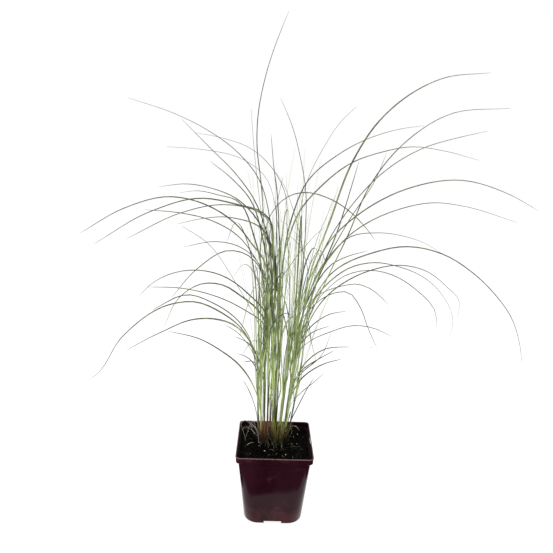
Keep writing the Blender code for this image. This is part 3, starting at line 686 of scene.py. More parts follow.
def blade_material(name, tint, dry, dark, fresh, pale, straw, midrib, veins, outer=0.12, ground=0.16, edge=0.3,
                   base=0.2):
    """A leaf or sheath whose pattern follows its own map. tint and dry may be None to read the mesh. Below ground it
    turns brown, and painted shade darkens it further towards the soil; edge is how much painted shade darkens its
    sides, and base how much it is lightened towards its foot, partly with painted light.
    """
    material, tree, shader = new_material(name, 0.5, Specular_IOR_Level=0.4)
    coordinates = add_node(tree, "ShaderNodeTexCoord")
    values = {}
    for label, value in (("tint", tint), ("dry", dry)):
        if value is None:
            reader = add_node(tree, "ShaderNodeAttribute", attribute_name=label)
            value = reader.outputs["Fac"]
        values[label.capitalize()] = value
    put = place_group(
        tree, group_named("Grass blade", blade_group), Map=coordinates.outputs["UV"],
        Place=coordinates.outputs["Object"], Dark=dark, Fresh=fresh, Pale=pale, Straw=straw,
        Midrib=midrib, Veins=veins, Outer=outer, Ground=ground, Edge=edge,
        Base=base, **values)
    tree.links.new(put["Color"], shader.inputs["Base Color"])
    tree.links.new(put["Rough"], shader.inputs["Roughness"])
    add_bump(tree, shader, put["Height"], 0.0002, 0.5)
    return material


def plastic_material(settings):
    """Glossy dark maroon plastic with faint flow marks and scuffs, clinging soil dust whose light red also paints a
    lighter reflection low on the pot, a painted highlight along the rim and painted shade on the ledge inside.
    """
    material, tree, shader = new_material("maroon_plastic", 0.14, Specular_IOR_Level=0.105)
    coordinates = add_node(tree, "ShaderNodeTexCoord")
    place = coordinates.outputs["Object"]
    flow = noise_value(tree, stretched(tree, place, (1.0, 1.0, 0.3)), 28.0, 4.0, 0.55)
    scuff = noise_value(tree, stretched(tree, place, (1.0, 1.0, 6.0)), 160.0, 4.0, 0.7)
    dust = place_group(tree, group_named("Clinging dust", dust_and_sheen_group), Place=place, Low=0.0, High=0.1306,
                       Amount=settings.dust)
    plain = (*settings.plastic_colour, 1.0)
    light = (*[min(1.0, part * 1.6 + 0.001) for part in settings.plastic_colour], 1.0)
    colour = mix_colours(tree, fade(tree, flow, 0.3, 0.75), plain, light)
    colour = mix_colours(tree, fade(tree, scuff, 0.62, 0.75, 0.0, 0.25), colour, (0.09, 0.035, 0.04, 1.0))
    # Clinging soil dust, thickest near the base and the rim; its light red also paints a lighter reflection low on the
    # pot.
    colour = mix_colours(tree, dust["Mask"], colour, (0.15, 0.04, 0.036, 1.0))
    parts = add_node(tree, "ShaderNodeSeparateXYZ")
    feed(tree, parts.inputs[0], place)
    height = parts.outputs[2]
    # Painted highlight: a paler pink band along the top of the rolled rim, broken up by the scuffs.
    rim_highlight = maths(tree, "MULTIPLY", fade(tree, height, 0.1293, 0.1302), fade(tree, scuff, 0.3, 0.6, 0.4, 1.0))
    colour = mix_colours(tree, rim_highlight, colour, (0.17, 0.1, 0.11, 1.0))
    # Painted shade: upward-facing surfaces low inside the pot, such as the ledge under the band, are painted near black
    # and made rough so that they show no highlight.
    facing = add_node(tree, "ShaderNodeSeparateXYZ")
    feed(tree, facing.inputs[0], coordinates.outputs["Normal"])
    ledge = maths(tree, "MULTIPLY", fade(tree, facing.outputs[2], 0.3, 0.6), fade(tree, height, 0.123, 0.125, 0.95, 0.0))
    colour = mix_colours(tree, ledge, colour, (0.006, 0.005, 0.004, 1.0))
    rough = maths(tree, "ADD", fade(tree, flow, 0.3, 0.8, 0.1, 0.2), fade(tree, scuff, 0.6, 0.75, 0.0, 0.15))
    rough = maths(tree, "ADD", rough, maths(tree, "MULTIPLY", dust["Mask"], 0.6), clamp=True)
    rough = maths(tree, "MAXIMUM", rough, ledge)
    tree.links.new(colour, shader.inputs["Base Color"])
    tree.links.new(rough, shader.inputs["Roughness"])
    ripple = noise_value(tree, place, 22.0, 2.0, 0.4)
    add_bump(tree, shader, maths(tree, "ADD", ripple, maths(tree, "MULTIPLY", dust["Grain"], 0.03)), 0.0012, 0.25)
    return material


def soil_material(name, colour, light):
    """Near-black peat with paler brown fibre and crumbs."""
    material, tree, shader = new_material(name, 0.92, Specular_IOR_Level=0.04)
    place = add_node(tree, "ShaderNodeTexCoord").outputs["Object"]
    crumbs = noise_value(tree, place, 420.0, 4.0, 0.65)
    clods = noise_value(tree, place, 90.0, 3.0, 0.6)
    shade = maths(tree, "ADD", fade(tree, crumbs, 0.52, 0.78, 0.0, 0.8), fade(tree, clods, 0.5, 0.75, 0.0, 0.25))
    tree.links.new(mix_colours(tree, shade, colour, light), shader.inputs["Base Color"])
    tree.links.new(fade(tree, crumbs, 0.3, 0.7, 0.78, 0.98), shader.inputs["Roughness"])
    add_bump(tree, shader, maths(tree, "ADD", crumbs, clods), 0.001, 0.9)
    return material


def perlite_material():
    """White foamed grains with grey pits."""
    material, tree, shader = new_material("perlite", 0.8)
    place = add_node(tree, "ShaderNodeTexCoord").outputs["Object"]
    pits = noise_value(tree, place, 1500.0, 3.0, 0.6)
    colour = mix_colours(tree, fade(tree, pits, 0.35, 0.6), (0.3, 0.28, 0.24, 1), (0.8, 0.78, 0.72, 1))
    tree.links.new(colour, shader.inputs["Base Color"])
    tree.links.new(fade(tree, pits, 0.3, 0.7, 0.9, 0.6), shader.inputs["Roughness"])
    add_bump(tree, shader, pits, 0.0003, 0.6)
    return material


def leaf_material(name, settings, midrib, veins, outer=0.12, lighten=0.0):
    """A leaf in the clump's own colours. lighten moves its dark green towards the fresh one: painted light that makes a
    lighter copy of the leaf colours.
    """
    dark = [low + (high - low) * lighten for low, high in zip(settings.dark_colour, settings.fresh_colour)]
    return blade_material(
        name, None, None, (*dark, 1.0), (*settings.fresh_colour, 1.0),
        (*settings.pale_colour, 1.0), (*settings.dry_colour, 1.0), midrib, veins, outer, base=0.7)


# Settings that a user would change.


class PotSettings(bpy.types.PropertyGroup):
    wall: FloatProperty(name="Wall", description="Thickness of the pot's wall in millimetres", default=0.8, min=0.6, max=1.3)
    plastic_colour: FloatVectorProperty(
        name="Plastic", description="Colour of the pot", subtype="COLOR", default=(0.0118, 0.0018, 0.0042), min=0, max=1)
    # Amount of clinging dust, whose light red also paints a lighter reflection low on the pot.
    dust: FloatProperty(
        name="Dust_and_sheen", description="How much soil dust clings to the pot", subtype="FACTOR", default=0.3, min=0, max=1)


class SoilSettings(bpy.types.PropertyGroup):
    peat_colour: FloatVectorProperty(
        name="Peat", description="Colour of damp peat", subtype="COLOR", default=(0.0009, 0.0008, 0.0006), min=0, max=1)
    fibre_colour: FloatVectorProperty(
        name="Fibre", description="Colour of drier fibre and crumbs", subtype="COLOR",
        default=(0.017, 0.0125, 0.008), min=0, max=1)
    crumbs: IntProperty(name="Crumbs", description="Number of loose crumbs on the soil", default=900, min=0, max=4000)
    perlite: IntProperty(name="Perlite", description="Number of white grains", default=26, min=0, max=200)


class LeafSettings(bpy.types.PropertyGroup):
    thickness: FloatProperty(
        name="Thickness", description="Thickness of a leaf at its midrib in millimetres", default=0.45, min=0.1, max=1.0)
    fresh_colour: FloatVectorProperty(
        name="Fresh green", description="Colour of the freshest leaves", subtype="COLOR",
        default=(0.33, 0.44, 0.115), min=0, max=1)
    dark_colour: FloatVectorProperty(
        name="Dark green", description="Colour of the oldest leaves", subtype="COLOR",
        default=(0.026, 0.031, 0.016), min=0, max=1)
    pale_colour: FloatVectorProperty(
        name="Midrib", description="Colour of the midribs and veins", subtype="COLOR",
        default=(0.56, 0.62, 0.42), min=0, max=1)
    dry_colour: FloatVectorProperty(
        name="Dry", description="Colour of dead tips and sheaths", subtype="COLOR",
        default=(0.16, 0.1, 0.05), min=0, max=1)
    small_leaves: IntProperty(
        name="Small leaves", description="Number of small leaves low in the clump", default=135, min=0, max=400)
    depth_leaves: IntProperty(
        name="Front and back leaves", description="Number of arching leaves to the front and the back",
        default=18, min=0, max=100)
    seed: IntProperty(name="Seed", description="Seed of the random leaves", default=11, min=0)


class StageSettings(bpy.types.PropertyGroup):
    floor: FloatProperty(name="Floor", description="Width of the floor", default=40.0, unit="LENGTH", min=1.0)
    floor_glow: FloatProperty(name="Floor glow", description="Light that the floor gives off", default=0.5, min=0.0)
    surround: FloatProperty(name="Surround", description="Strength of the light all round", default=0.9, min=0.0)
    key: FloatProperty(name="Key", description="Strength of the softbox over the left front", default=20.0, unit="POWER", min=0.0)
    top: FloatProperty(name="Top", description="Strength of the softbox overhead", default=22.0, unit="POWER", min=0.0)


# Pot.


def rounded_square(half, radius, z):
    """Points round a square with round corners, level at height z."""
    points = []
    for corner in range(4):
        start = 90 * corner
        middle = Vector((math.cos(math.radians(start + 45)), math.sin(math.radians(start + 45)), 0))
        middle *= (half - radius) * math.sqrt(2)
        for step in range(CORNER_STEPS):
            turn = math.radians(start + 90 * step / (CORNER_STEPS - 1))
            points.append(middle + Vector((radius * math.cos(turn), radius * math.sin(turn), z)))
    return points


def add_ring(bm, half, radius, z):
    """One level ring of edges round a square with round corners."""
    made = bmesh.ops.create_circle(bm, cap_ends=False, segments=4 * CORNER_STEPS, radius=1.0)
    verts = sorted(made["verts"], key=lambda vert: math.atan2(vert.co.y, vert.co.x) % (2 * math.pi))
    edges = list({edge for vert in verts for edge in vert.link_edges})
    for vert, place in zip(verts, rounded_square(half, radius, z)):
        vert.co = place
    return edges


def skin_rings(sections):
    """Bridges a row of rings into a skin, closed at both ends."""
    bm = bmesh.new()
    rings = [add_ring(bm, *section) for section in sections]
    for lower, upper in zip(rings, rings[1:]):
        bmesh.ops.bridge_loops(bm, edges=lower + upper)
    bmesh.ops.edgeloop_fill(bm, edges=rings[0])
    bmesh.ops.edgeloop_fill(bm, edges=rings[-1])
    bmesh.ops.recalc_face_normals(bm, faces=bm.faces)
    return bm


def wall_half(z):
    """Half of the pot's outer width under the rim band, at height z."""
    under_band = RIM_WIDTH / 2 - BAND_STEP
    return BASE_WIDTH / 2 + (under_band - BASE_WIDTH / 2) * z / (POT_HEIGHT - BAND_HEIGHT)


def wall_corner(z):
    """Corner radius of the tapered wall: widest at the base, like a quarter cone."""
    return BASE_CORNER + (RIM_CORNER - BASE_CORNER) * z / (POT_HEIGHT - BAND_HEIGHT)


def pot_sections(wall):
    """Rings up the outside, over the rolled rim and down the inside to the floor."""
    band_foot = POT_HEIGHT - BAND_HEIGHT
    rim = RIM_WIDTH / 2
    rows = []
    for step in range(4):
        turn = math.radians(30 * step)
        drop = 1.8 * (1 - math.sin(turn))
        rows.append((wall_half(1.8 * (1 - math.cos(turn))) - drop, wall_corner(0) - drop, 1.8 * (1 - math.cos(turn))))
    for z in (2.6, 20.0, 40.0, 60.0, 80.0, 100.0, band_foot):
        rows.append((wall_half(z), wall_corner(z), z))
    rows.append((rim - 1.3, RIM_CORNER, band_foot))
    rows.append((rim - 0.95, RIM_CORNER, band_foot + 0.35))
    rows.append((rim - 0.85, RIM_CORNER, band_foot + 0.9))
    rows.append((rim - 0.85, RIM_CORNER, POT_HEIGHT - 1.8 * RIM_BEAD))
    for step in range(-1, 8):
        turn = math.radians(30 * step)
        inwards = RIM_BEAD * (1 - math.cos(turn))
        rows.append((rim - inwards, RIM_CORNER - inwards, POT_HEIGHT - RIM_BEAD * (1 - math.sin(turn))))
    rows.append((rim - 0.85 - wall, RIM_CORNER - wall, POT_HEIGHT - 1.8 * RIM_BEAD))
    rows.append((rim - 0.85 - wall, RIM_CORNER - wall, band_foot + wall + 1.5))
    inner_step = band_foot - wall
    rows.append((wall_half(inner_step) - wall, wall_corner(inner_step) - wall, inner_step))
    rows.append((wall_half(60) - wall, wall_corner(60) - wall, 60))
    rows.append((wall_half(wall + 2) - wall, wall_corner(wall + 2) - wall, wall + 2))
    rows.append((wall_half(wall) - wall - 1.5, wall_corner(wall) - wall - 1.5, wall))
    return rows


def plain_object(bm, name):
    """A bare object from a bmesh in millimetres, for shaping only."""
    mesh = bpy.data.meshes.new(name)
    bm.to_mesh(mesh)
    bm.free()
    obj = bpy.data.objects.new(name, mesh)
    bpy.context.scene.collection.objects.link(obj)
    return obj


def box_tool(size, centre, name):
    bm = bmesh.new()
    bmesh.ops.create_cube(bm, size=1.0)
    bmesh.ops.scale(bm, vec=size, verts=bm.verts)
    bmesh.ops.translate(bm, vec=centre, verts=bm.verts)
    return plain_object(bm, name)


def channel_tool(grow, overshoot, outward, height, sink, name):
    """A box over one drainage channel, wider by grow each side and longer outwards by overshoot."""
    length = CHANNEL_LENGTH + overshoot + grow
    width = CHANNEL_WIDTH + 2 * grow
    along_x = abs(outward.x) > 0.5
    size = (length, width, height) if along_x else (width, length, height)
    centre = outward * (BASE_WIDTH / 2 - CHANNEL_LENGTH / 2 + (overshoot - grow) / 2)
    centre.z = height / 2 - sink
    return box_tool(size, centre, name)


def shaped(obj, tools):
    """The mesh of an object after its (tool, operation) pairs, which are then removed with it."""
    for tool, operation in tools:
        modifier = obj.modifiers.new(tool.name, "BOOLEAN")
        modifier.operation = operation
        modifier.object = tool
        modifier.solver = "EXACT"
    depsgraph = bpy.context.evaluated_depsgraph_get()
    mesh = bpy.data.meshes.new_from_object(obj.evaluated_get(depsgraph))
    for used in [obj] + [tool for tool, _ in tools]:
        bpy.data.objects.remove(used, do_unlink=True)
    return mesh


class CLUMP_OT_pot(bpy.types.Operator):
    """Builds the square nursery pot with its rim band, label slots and drainage channels"""

    bl_idname = "clump.pot"
    bl_label = "Pot"

    def execute(self, context):
        settings = context.scene.clump_pot
        wall = settings.wall
        body = plain_object(skin_rings(pot_sections(wall)), "pot body")
        sides = (Vector((1, 0, 0)), Vector((0, 1, 0)), Vector((-1, 0, 0)), Vector((0, -1, 0)))
        tools = []
        for i, outward in enumerate(sides):
            roof = channel_tool(wall, -wall / 2, outward.copy(), CHANNEL_HEIGHT + wall, 0.0, f"roof {i}")
            tools.append((roof, "UNION"))
        for i, outward in enumerate(sides):
            channel = channel_tool(0, 6.0, outward.copy(), CHANNEL_HEIGHT, 0.3, f"channel {i}")
            tools.append((channel, "DIFFERENCE"))
            bm = bmesh.new()
            bmesh.ops.create_cone(bm, cap_ends=True, segments=24, radius1=DRAIN_HOLE / 2,
                                  radius2=DRAIN_HOLE / 2, depth=4 * CHANNEL_HEIGHT)
            middle = outward * (BASE_WIDTH / 2 - CHANNEL_LENGTH / 2)
            bmesh.ops.translate(bm, vec=(middle.x, middle.y, CHANNEL_HEIGHT), verts=bm.verts)
            tools.append((plain_object(bm, f"drain {i}"), "DIFFERENCE"))
        for side in (-1, 1):
            slot = box_tool((6 * wall, SLOT_LENGTH, SLOT_HEIGHT),
                            (side * RIM_WIDTH / 2, SLOT_Y, POT_HEIGHT - SLOT_BELOW_RIM), f"slot {side}")
            tools.append((slot, "DIFFERENCE"))
        mesh = shaped(body, tools)
        bm = bmesh.new()
        bm.from_mesh(mesh)
        bpy.data.meshes.remove(mesh)
        bmesh.ops.remove_doubles(bm, verts=bm.verts, dist=0.01)
        if not bm.faces:
            raise RuntimeError("the pot came out empty")
        finish_piece(bm, "nursery_pot", plastic_material(settings), ("pot",), 32.0)
        return {"FINISHED"}


# Soil.


def soil_height(x, y):
    """Height of the soil's surface, in millimetres."""
    half = wall_half(SOIL_EDGE) - 1.2
    edge = max(abs(x), abs(y)) / half
    dome = blend(SOIL_TOP + 0.6, SOIL_EDGE + 0.8, (edge - 0.55) / 0.45)
    mound = 2.2 * math.exp(-((x - CROWN_X) ** 2 + (y - CROWN_Y) ** 2) / 700.0)
    clods = 2.6 * noise.noise(Vector((x / 13.0, y / 13.0, 0.3)))
    lumps = 1.5 * noise.noise(Vector((x / 5.0, y / 5.0, 4.0)))
    grain = 0.7 * noise.noise(Vector((x / 1.9, y / 1.9, 9.0)))
    return dome + mound + clods + lumps + grain


def inside_pot(x, y, half, corner):
    """Pulls a point into a square with round corners."""
    core = half - corner
    out_x, out_y = max(0.0, abs(x) - core), max(0.0, abs(y) - core)
    reach = math.hypot(out_x, out_y)
    if reach > corner:
        x = math.copysign(core + out_x * corner / reach, x) if out_x else x
        y = math.copysign(core + out_y * corner / reach, y) if out_y else y
    return x, y


class CLUMP_OT_soil(bpy.types.Operator):
    """Builds the soil's lumpy top, its loose crumbs and its white perlite grains"""

    bl_idname = "clump.soil"
    bl_label = "Soil"

    def execute(self, context):
        settings = context.scene.clump_soil
        chance = random.Random(5)
        peat = (*settings.peat_colour, 1.0)
        fibre = (*settings.fibre_colour, 1.0)
        block = soil_material("peat", peat, fibre)
        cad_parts["soil"].data.materials.clear()
        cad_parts["soil"].data.materials.append(block)
        self.make_top(soil_material("peat_top", peat, fibre))
        self.make_crumbs(chance, settings.crumbs, soil_material("peat_crumbs", peat, tuple(2.0 * p for p in fibre[:3]) + (1.0,)))
        self.make_perlite(chance, settings.perlite)
        return {"FINISHED"}

    def make_top(self, material):
        half = wall_half(SOIL_EDGE) - 1.2
        corner = wall_corner(SOIL_EDGE) - 1.2
        bm = bmesh.new()
        bmesh.ops.create_grid(bm, x_segments=96, y_segments=96, size=half)
        bottom = bmesh.ops.extrude_face_region(bm, geom=bm.faces[:])
        low = {part for part in bottom["geom"] if isinstance(part, bmesh.types.BMVert)}
        for vert in bm.verts:
            x, y = inside_pot(vert.co.x, vert.co.y, half, corner)
            vert.co = (x, y, SOIL_EDGE - 2.0 if vert in low else soil_height(x, y))
        finish_piece(bm, "soil_top", material, (), 60.0)

    def make_crumbs(self, chance, count, material):
        """Loose crumbs, each a dented ball of a few faces."""
        half = wall_half(SOIL_EDGE) - 4.0
        bm = bmesh.new()
        for _ in range(count):
            x, y = chance.uniform(-half, half), chance.uniform(-half, half)
            size = 0.5 + 1.6 * chance.random() ** 3
            self.add_crumb(bm, chance, x, y, size, 1)
        finish_piece(bm, "soil_crumbs", material, (), 40.0)

    def make_perlite(self, chance, count):
        half = wall_half(SOIL_EDGE) - 5.0
        places = [(-17.0, -22.0, 1.0), (19.4, -33.0, 1.0), (-22.0, -49.0, 0.7), (9.0, -45.0, 0.7)]
        for _ in range(count):
            places.append((chance.uniform(-half, half), chance.uniform(-half, half), chance.uniform(0.3, 0.75)))
        bm = bmesh.new()
        for x, y, size in places:
            self.add_crumb(bm, chance, x, y, size, 2)
        finish_piece(bm, "perlite_grains", perlite_material(), (), 60.0)

    def add_crumb(self, bm, chance, x, y, size, subdivisions):
        made = bmesh.ops.create_icosphere(bm, subdivisions=subdivisions, radius=size)
        stretch = Vector((chance.uniform(0.7, 1.3), chance.uniform(0.7, 1.3), chance.uniform(0.5, 0.9)))
        seed = Vector((chance.uniform(0, 50), chance.uniform(0, 50), 0))
        spin = Matrix.Rotation(chance.uniform(0, 6.28), 4, "Z")
        for vert in made["verts"]:
            dent = 1 + 0.45 * noise.noise(vert.co * (1.1 / size) + seed)
            vert.co = vert.co * stretch * dent
        bmesh.ops.transform(bm, matrix=spin, verts=made["verts"])
        bmesh.ops.translate(bm, vec=(x, y, soil_height(x, y) + size * 0.3), verts=made["verts"])


# Shoots.


class CLUMP_OT_shoots(bpy.types.Operator):
    """Builds the shoots, each a stem of rolled sheaths that ends in a rolled young leaf"""

    bl_idname = "clump.shoots"
    bl_label = "Shoots"

    def execute(self, context):
        settings = context.scene.clump_leaves
        material = blade_material(
            "sheath", None, None, (0.02, 0.024, 0.006, 1.0), (0.23, 0.32, 0.055, 1.0),
            (0.45, 0.52, 0.25, 1.0), (0.07, 0.058, 0.018, 1.0), 0.12, 0.4, 0.8, 0.192, 0.95)
        chance = random.Random(settings.seed)
        for shoot in SHOOTS:
            bm = new_bmesh()
            self.add_stem(bm, shoot, chance)
            finish_piece(bm, f"stem_{shoot.name[6:]}", material, (shoot.name,), 60.0)
        return {"FINISHED"}

    def add_stem(self, bm, shoot, chance):
        uv = bm.loops.layers.uv["UVMap"]
        tint = bm.verts.layers.float["tint"]
        foot = SOIL_TOP - 1.5
        top = SOIL_TOP + shoot.length
        spear = 34.0
        steps = 22
        joints = [foot + chance.uniform(0.25, 0.4) * shoot.length, foot + chance.uniform(0.55, 0.75) * shoot.length]
        way = [shoot_point(shoot, foot + (top + spear - foot) * i / steps) for i in range(steps + 1)]
        places = {}
        for vert, i, across, upper in add_bar(bm, way, 12):
            height = way[i].z
            radius = shoot_radius(shoot, max(SOIL_TOP, height))
            for joint in joints:
                radius += 0.28 * max(0.0, 1 - abs(height - joint) / 5.0)
            radius *= STEM_SHARE * blend(1.0, 0.12, (height - top + 4.0) / (spear + 4.0))
            vert.co = way[i] + Vector((across * radius, upper * radius, 0))
            vert[tint] = shoot.tint
            places[vert] = (0.5 + across / 2, 0.9 * i / steps)
        for vert, place in places.items():
            for loop in vert.link_loops:
                loop[uv].uv = place


# Leaves.


def layers_on_shoots(leaves):
    """How many sheaths lie under each leaf's own: the lowest leaf on a shoot is the outermost."""
    layers = {}
    for leaf in leaves:
        above = [other for other in leaves if other.shoot == leaf.shoot and other.leaves_at > leaf.leaves_at]
        layers[leaf] = len(above)
    return layers


# How far the blades of each side are turned about their midribs, in radians, and their share of full width.
BladeSide = namedtuple("BladeSide", "least most width")
BLADE_SIDES = {
    "left": BladeSide(0.5, 0.95, 0.98),
    "top": BladeSide(0.2, 0.5, 0.76),
    "right": BladeSide(0.35, 0.75, 0.9),
    "front": BladeSide(0.2, 0.9, 0.85),
    "back": BladeSide(0.2, 0.9, 0.85),
}


def facing_roll(heading, chance, least, most):
    """A turn about the midrib that shows most leaves' faces to the front."""
    toward_front = 1.0 if math.cos(math.radians(heading)) > 0 else -1.0
    turn = chance.uniform(least, most)
    return turn * toward_front * (1 if chance.random() < 0.93 else -1)


class CLUMP_OT_leaves(bpy.types.Operator):
    """Builds the long arching leaves, one piece for each leaf of the frame"""

    bl_idname = "clump.leaves"
    bl_label = "Leaves"

    def execute(self, context):
        settings = context.scene.clump_leaves
        chance = random.Random(settings.seed + 1)
        material = leaf_material("leaf_blade", settings, 0.55, 0.3)
        # Painted light: the front and back leaves get a lighter copy of the leaf colours.
        lighter = leaf_material("depth_blade", settings, 0.55, 0.3, 0.85, 0.1)
        layers = layers_on_shoots(LEAVES)
        for leaf in LEAVES:
            bm = new_bmesh()
            side_name = leaf.name.split("_")[1]
            side = BLADE_SIDES[side_name]
            slimmer = leaf._replace(width=leaf.width * side.width)
            roll = facing_roll(leaf.heading, chance, side.least, side.most)
            add_leaf(bm, slimmer, layers[leaf], settings.thickness, roll, 8)
            look = lighter if side_name in ("front", "back") else material
            finish_piece(bm, leaf.name.replace("leaf", "blade"), look, (leaf.name,), 70.0)
        return {"FINISHED"}


class CLUMP_OT_side_leaves(bpy.types.Operator):
    """Builds the finer leaves at the sides and the top, joined into one piece for each side"""

    bl_idname = "clump.side_leaves"
    bl_label = "Fine Side Leaves"

    def execute(self, context):
        settings = context.scene.clump_leaves
        chance = random.Random(settings.seed + 2)
        material = leaf_material("fine_blade", settings, 0.5, 0.25)
        for side in ("left", "top", "right"):
            bm = new_bmesh()
            for leaf in SIDE_LEAVES:
                if leaf.name == side:
                    add_leaf(bm, leaf, 0.5, 0.4, facing_roll(leaf.heading, chance, 0.6, 1.1), 6, 18.0)
            finish_piece(bm, f"fine_leaves_{side}", material, (), 70.0)
        return {"FINISHED"}


class CLUMP_OT_upright_leaves(bpy.types.Operator):
    """Builds the upright leaves that fill the middle of the clump"""

    bl_idname = "clump.upright_leaves"
    bl_label = "Upright Leaves"

    def execute(self, context):
        settings = context.scene.clump_leaves
        chance = random.Random(settings.seed + 3)
        # Painted light: the upright leaves get a lighter copy of the leaf colours, against the shade inside the clump.
        material = leaf_material("upright_blade", settings, 0.6, 0.4, 0.85, 0.08)
        bm = new_bmesh()
        for row in UPRIGHT_LEAVES:
            start = shoot_point(SHOOT_NAMED[row.shoot], row.leaves_at)
            points = [shoot_point(SHOOT_NAMED[row.shoot], row.leaves_at - 25.0), start]
            for i, (x, height) in enumerate(row.way):
                back = start.y + (row.tip_y - start.y) * (i + 1) / len(row.way)
                points.append(Vector((x, back, height)))
            turn = (chance.uniform(-0.5, 0.5), chance.uniform(-1.2, 1.2))
            add_plain_blade(bm, points, row.width * UPRIGHT_SHARE, row.tint, 0.4, turn, 8)
        finish_piece(bm, "upright_leaves", material, (), 70.0)
        return {"FINISHED"}


class CLUMP_OT_small_leaves(bpy.types.Operator):
    """Builds the small leaves low in the clump and the arching ones to the front and the back"""

    bl_idname = "clump.small_leaves"
    bl_label = "Small Leaves"

    def execute(self, context):
        settings = context.scene.clump_leaves
        # Painted light: the small leaves get a lighter copy of the leaf colours, against the shade inside the clump.
        material = leaf_material("small_blade", settings, 0.5, 0.35, 0.9, 0.08)
        self.make_low_leaves(settings, material)
        self.make_depth_leaves(settings, leaf_material("arching_blade", settings, 0.5, 0.3))
        return {"FINISHED"}

    def make_low_leaves(self, settings, material):
        """Short leaves that stand close along the shoots."""
        chance = random.Random(settings.seed + 4)
        bm = new_bmesh()
        for number in range(settings.small_leaves):
            hugging = number % 3 == 0
            shoot = chance.choice(SHOOTS)
            base = SOIL_TOP + shoot.length * (chance.uniform(0.0, 0.25) if hugging else chance.uniform(0.5, 1.0))
            length = chance.uniform(70, 170) if hugging else chance.uniform(160, 340)
            outward, _ = heading_vectors(chance.uniform(0, 360))
            lean = chance.uniform(0.0, 0.03) if hugging else chance.uniform(0.04, 0.16)
            off = chance.uniform(1.2, 3.0)
            points = []
            for k in range(5):
                share = k / 4
                centre = shoot_point(shoot, base + length * share)
                points.append(centre + outward * (off + length * lean * share ** 1.8))
            tint = chance.choice((-0.1, 0.1, 0.6, 1.0)) if hugging else chance.choice((0.0, 0.6, 0.9, 1.0))
            width = chance.uniform(0.9, 1.6) if hugging else chance.uniform(0.9, 1.5)
            add_plain_blade(bm, points, width, tint, 0.3, (0.0, chance.uniform(-1, 1)), 4)
        finish_piece(bm, "small_leaves", material, (), 70.0)

    def make_depth_leaves(self, settings, material):
        """Long leaves that arch towards the front and towards the back."""
        chance = random.Random(settings.seed + 5)
        for side, middle in (("front", -90.0), ("back", 90.0)):
            bm = new_bmesh()
            for _ in range(settings.depth_leaves // 2):
                shoot = chance.choice(SHOOTS)
                heading = middle + chance.uniform(-38, 38)
                outward, _ = heading_vectors(heading)
                base = SOIL_TOP + shoot.length * chance.uniform(0.45, 0.9)
                reach = chance.uniform(90, 190)
                peak = chance.uniform(330, 560)
                start = shoot_point(shoot, base)
                points = [
                    start,
                    start + outward * reach * 0.1 + Vector((0, 0, (peak - base) * 0.45)),
                    start + outward * reach * 0.38 + Vector((0, 0, (peak - base) * 0.88)),
                    start + outward * reach * 0.7 + Vector((0, 0, peak - base)),
                    start + outward * reach + Vector((0, 0, (peak - base) * chance.uniform(0.8, 0.95))),
                ]
                tint = chance.uniform(0.2, 0.7)
                add_plain_blade(bm, points, chance.uniform(2.8, 3.8), tint, 0.35, (0.0, chance.uniform(-0.8, 0.8)), 6)
            finish_piece(bm, f"arching_leaves_{side}", material, (), 70.0)


# Dead matter at the foot of the clump.

# Places of loose straws, as points in millimetres, and each one's tint from grey to pale.
STRAWS = (
    (0.8, ((-24, 20, 150), (-33, 18, 153), (-41, 16, 153), (-44, 14, 151))),
    (0.0, ((-44, 14, 150), (-44, 14, 158), (-40, 14, 166), (-35, 14, 175))),
    (0.1, ((-39, 14, 143), (-47, 14, 157), (-54, 14, 168))),
    (0.8, ((-60, 14, 151), (-56, 14, 156), (-53, 14, 159))),
    (0.6, ((-36, 14, 131), (-41, 14, 141), (-44, 14, 150), (-49, 14, 157))),
    (0.8, ((-29, 14, 131), (-35, 15, 142), (-40, 16, 149), (-44, 17, 152))),
    (0.7, ((-31, 14, 134), (-34, 14, 143), (-36, 14, 151), (-41, 18, 158))),
    (0.5, ((-27, 24, 121), (-36, 35, 134), (-49, 40, 140), (-61, 50, 152))),
    (0.5, ((-52, 22, 118), (-47, 33, 133), (-41, 44, 146), (-38, 58, 153))),
    (0.6, ((-30, 20, 124), (-43, 24, 135), (-54, 28, 137), (-60, 27, 129))),
    (0.5, ((-50, 10, 118), (-55, 14, 132), (-59, 16, 144), (-60, 16, 150))),
    (0.4, ((-25, 34, 120), (-39, 43, 131), (-55, 38, 127))),
    (1.0, ((13, 12, 129), (20, 13, 139), (26, 14, 146), (32, 15, 148.5), (39, 16, 146), (44, 17, 139))),
    (0.9, ((-52, -8, 118), (-47, -4, 121), (-40, 1, 122), (-34, 4, 119))),
    (0.7, ((43, -14, 118), (48, -13.5, 119.5), (53, -14, 118.5))),
    (0.5, ((23, 24, 119), (30, 11, 121), (39, 13, 119))),
    (0.7, ((27, -9, 119), (38, -6, 120.5), (50, -12, 118.5))),
    (0.4, ((24, 0, 119), (34, -13, 119.5), (43, -5, 119))),
    (0.8, ((-11, 12, 134), (-9, 9, 128), (-5, 4, 123), (-1, -1, 119))),
    (0.7, ((-12, 9, 121), (-9, -4, 120.5), (-5, -14, 119.5), (-1, -26, 118.5))),
    (0.7, ((5, 12, 136), (9, 10, 131), (13, 6, 126), (15, 0, 120))),
    (0.8, ((-29, 12, 134), (-29, 7, 128), (-27, 1, 122), (-26, -4, 119))),
    (1.0, ((-11.5, 8, 156), (-9, 7, 152), (-6.5, 6, 149))),
    (0.8, ((20, 10, 150), (17, 8, 142), (14, 5, 133), (13, 2, 124))),
    (0.3, ((24, 10, 122), (27, 9, 130), (31, 12, 140), (29, 14, 147))),
)
THIN_STEM = ((16, 10, 119), (19, 12, 129), (29, 14, 160), (41, 14, 189), (58, 16, 226), (66, 16, 240))
BUD_STEM = ((19, 14, 122), (22, 14, 142), (24, 14, 160), (26.5, 14, 174))
BUD = ((24.5, 13.5, 164), (25.5, 13.5, 168), (26.5, 13.5, 173), (27, 13.5, 177))


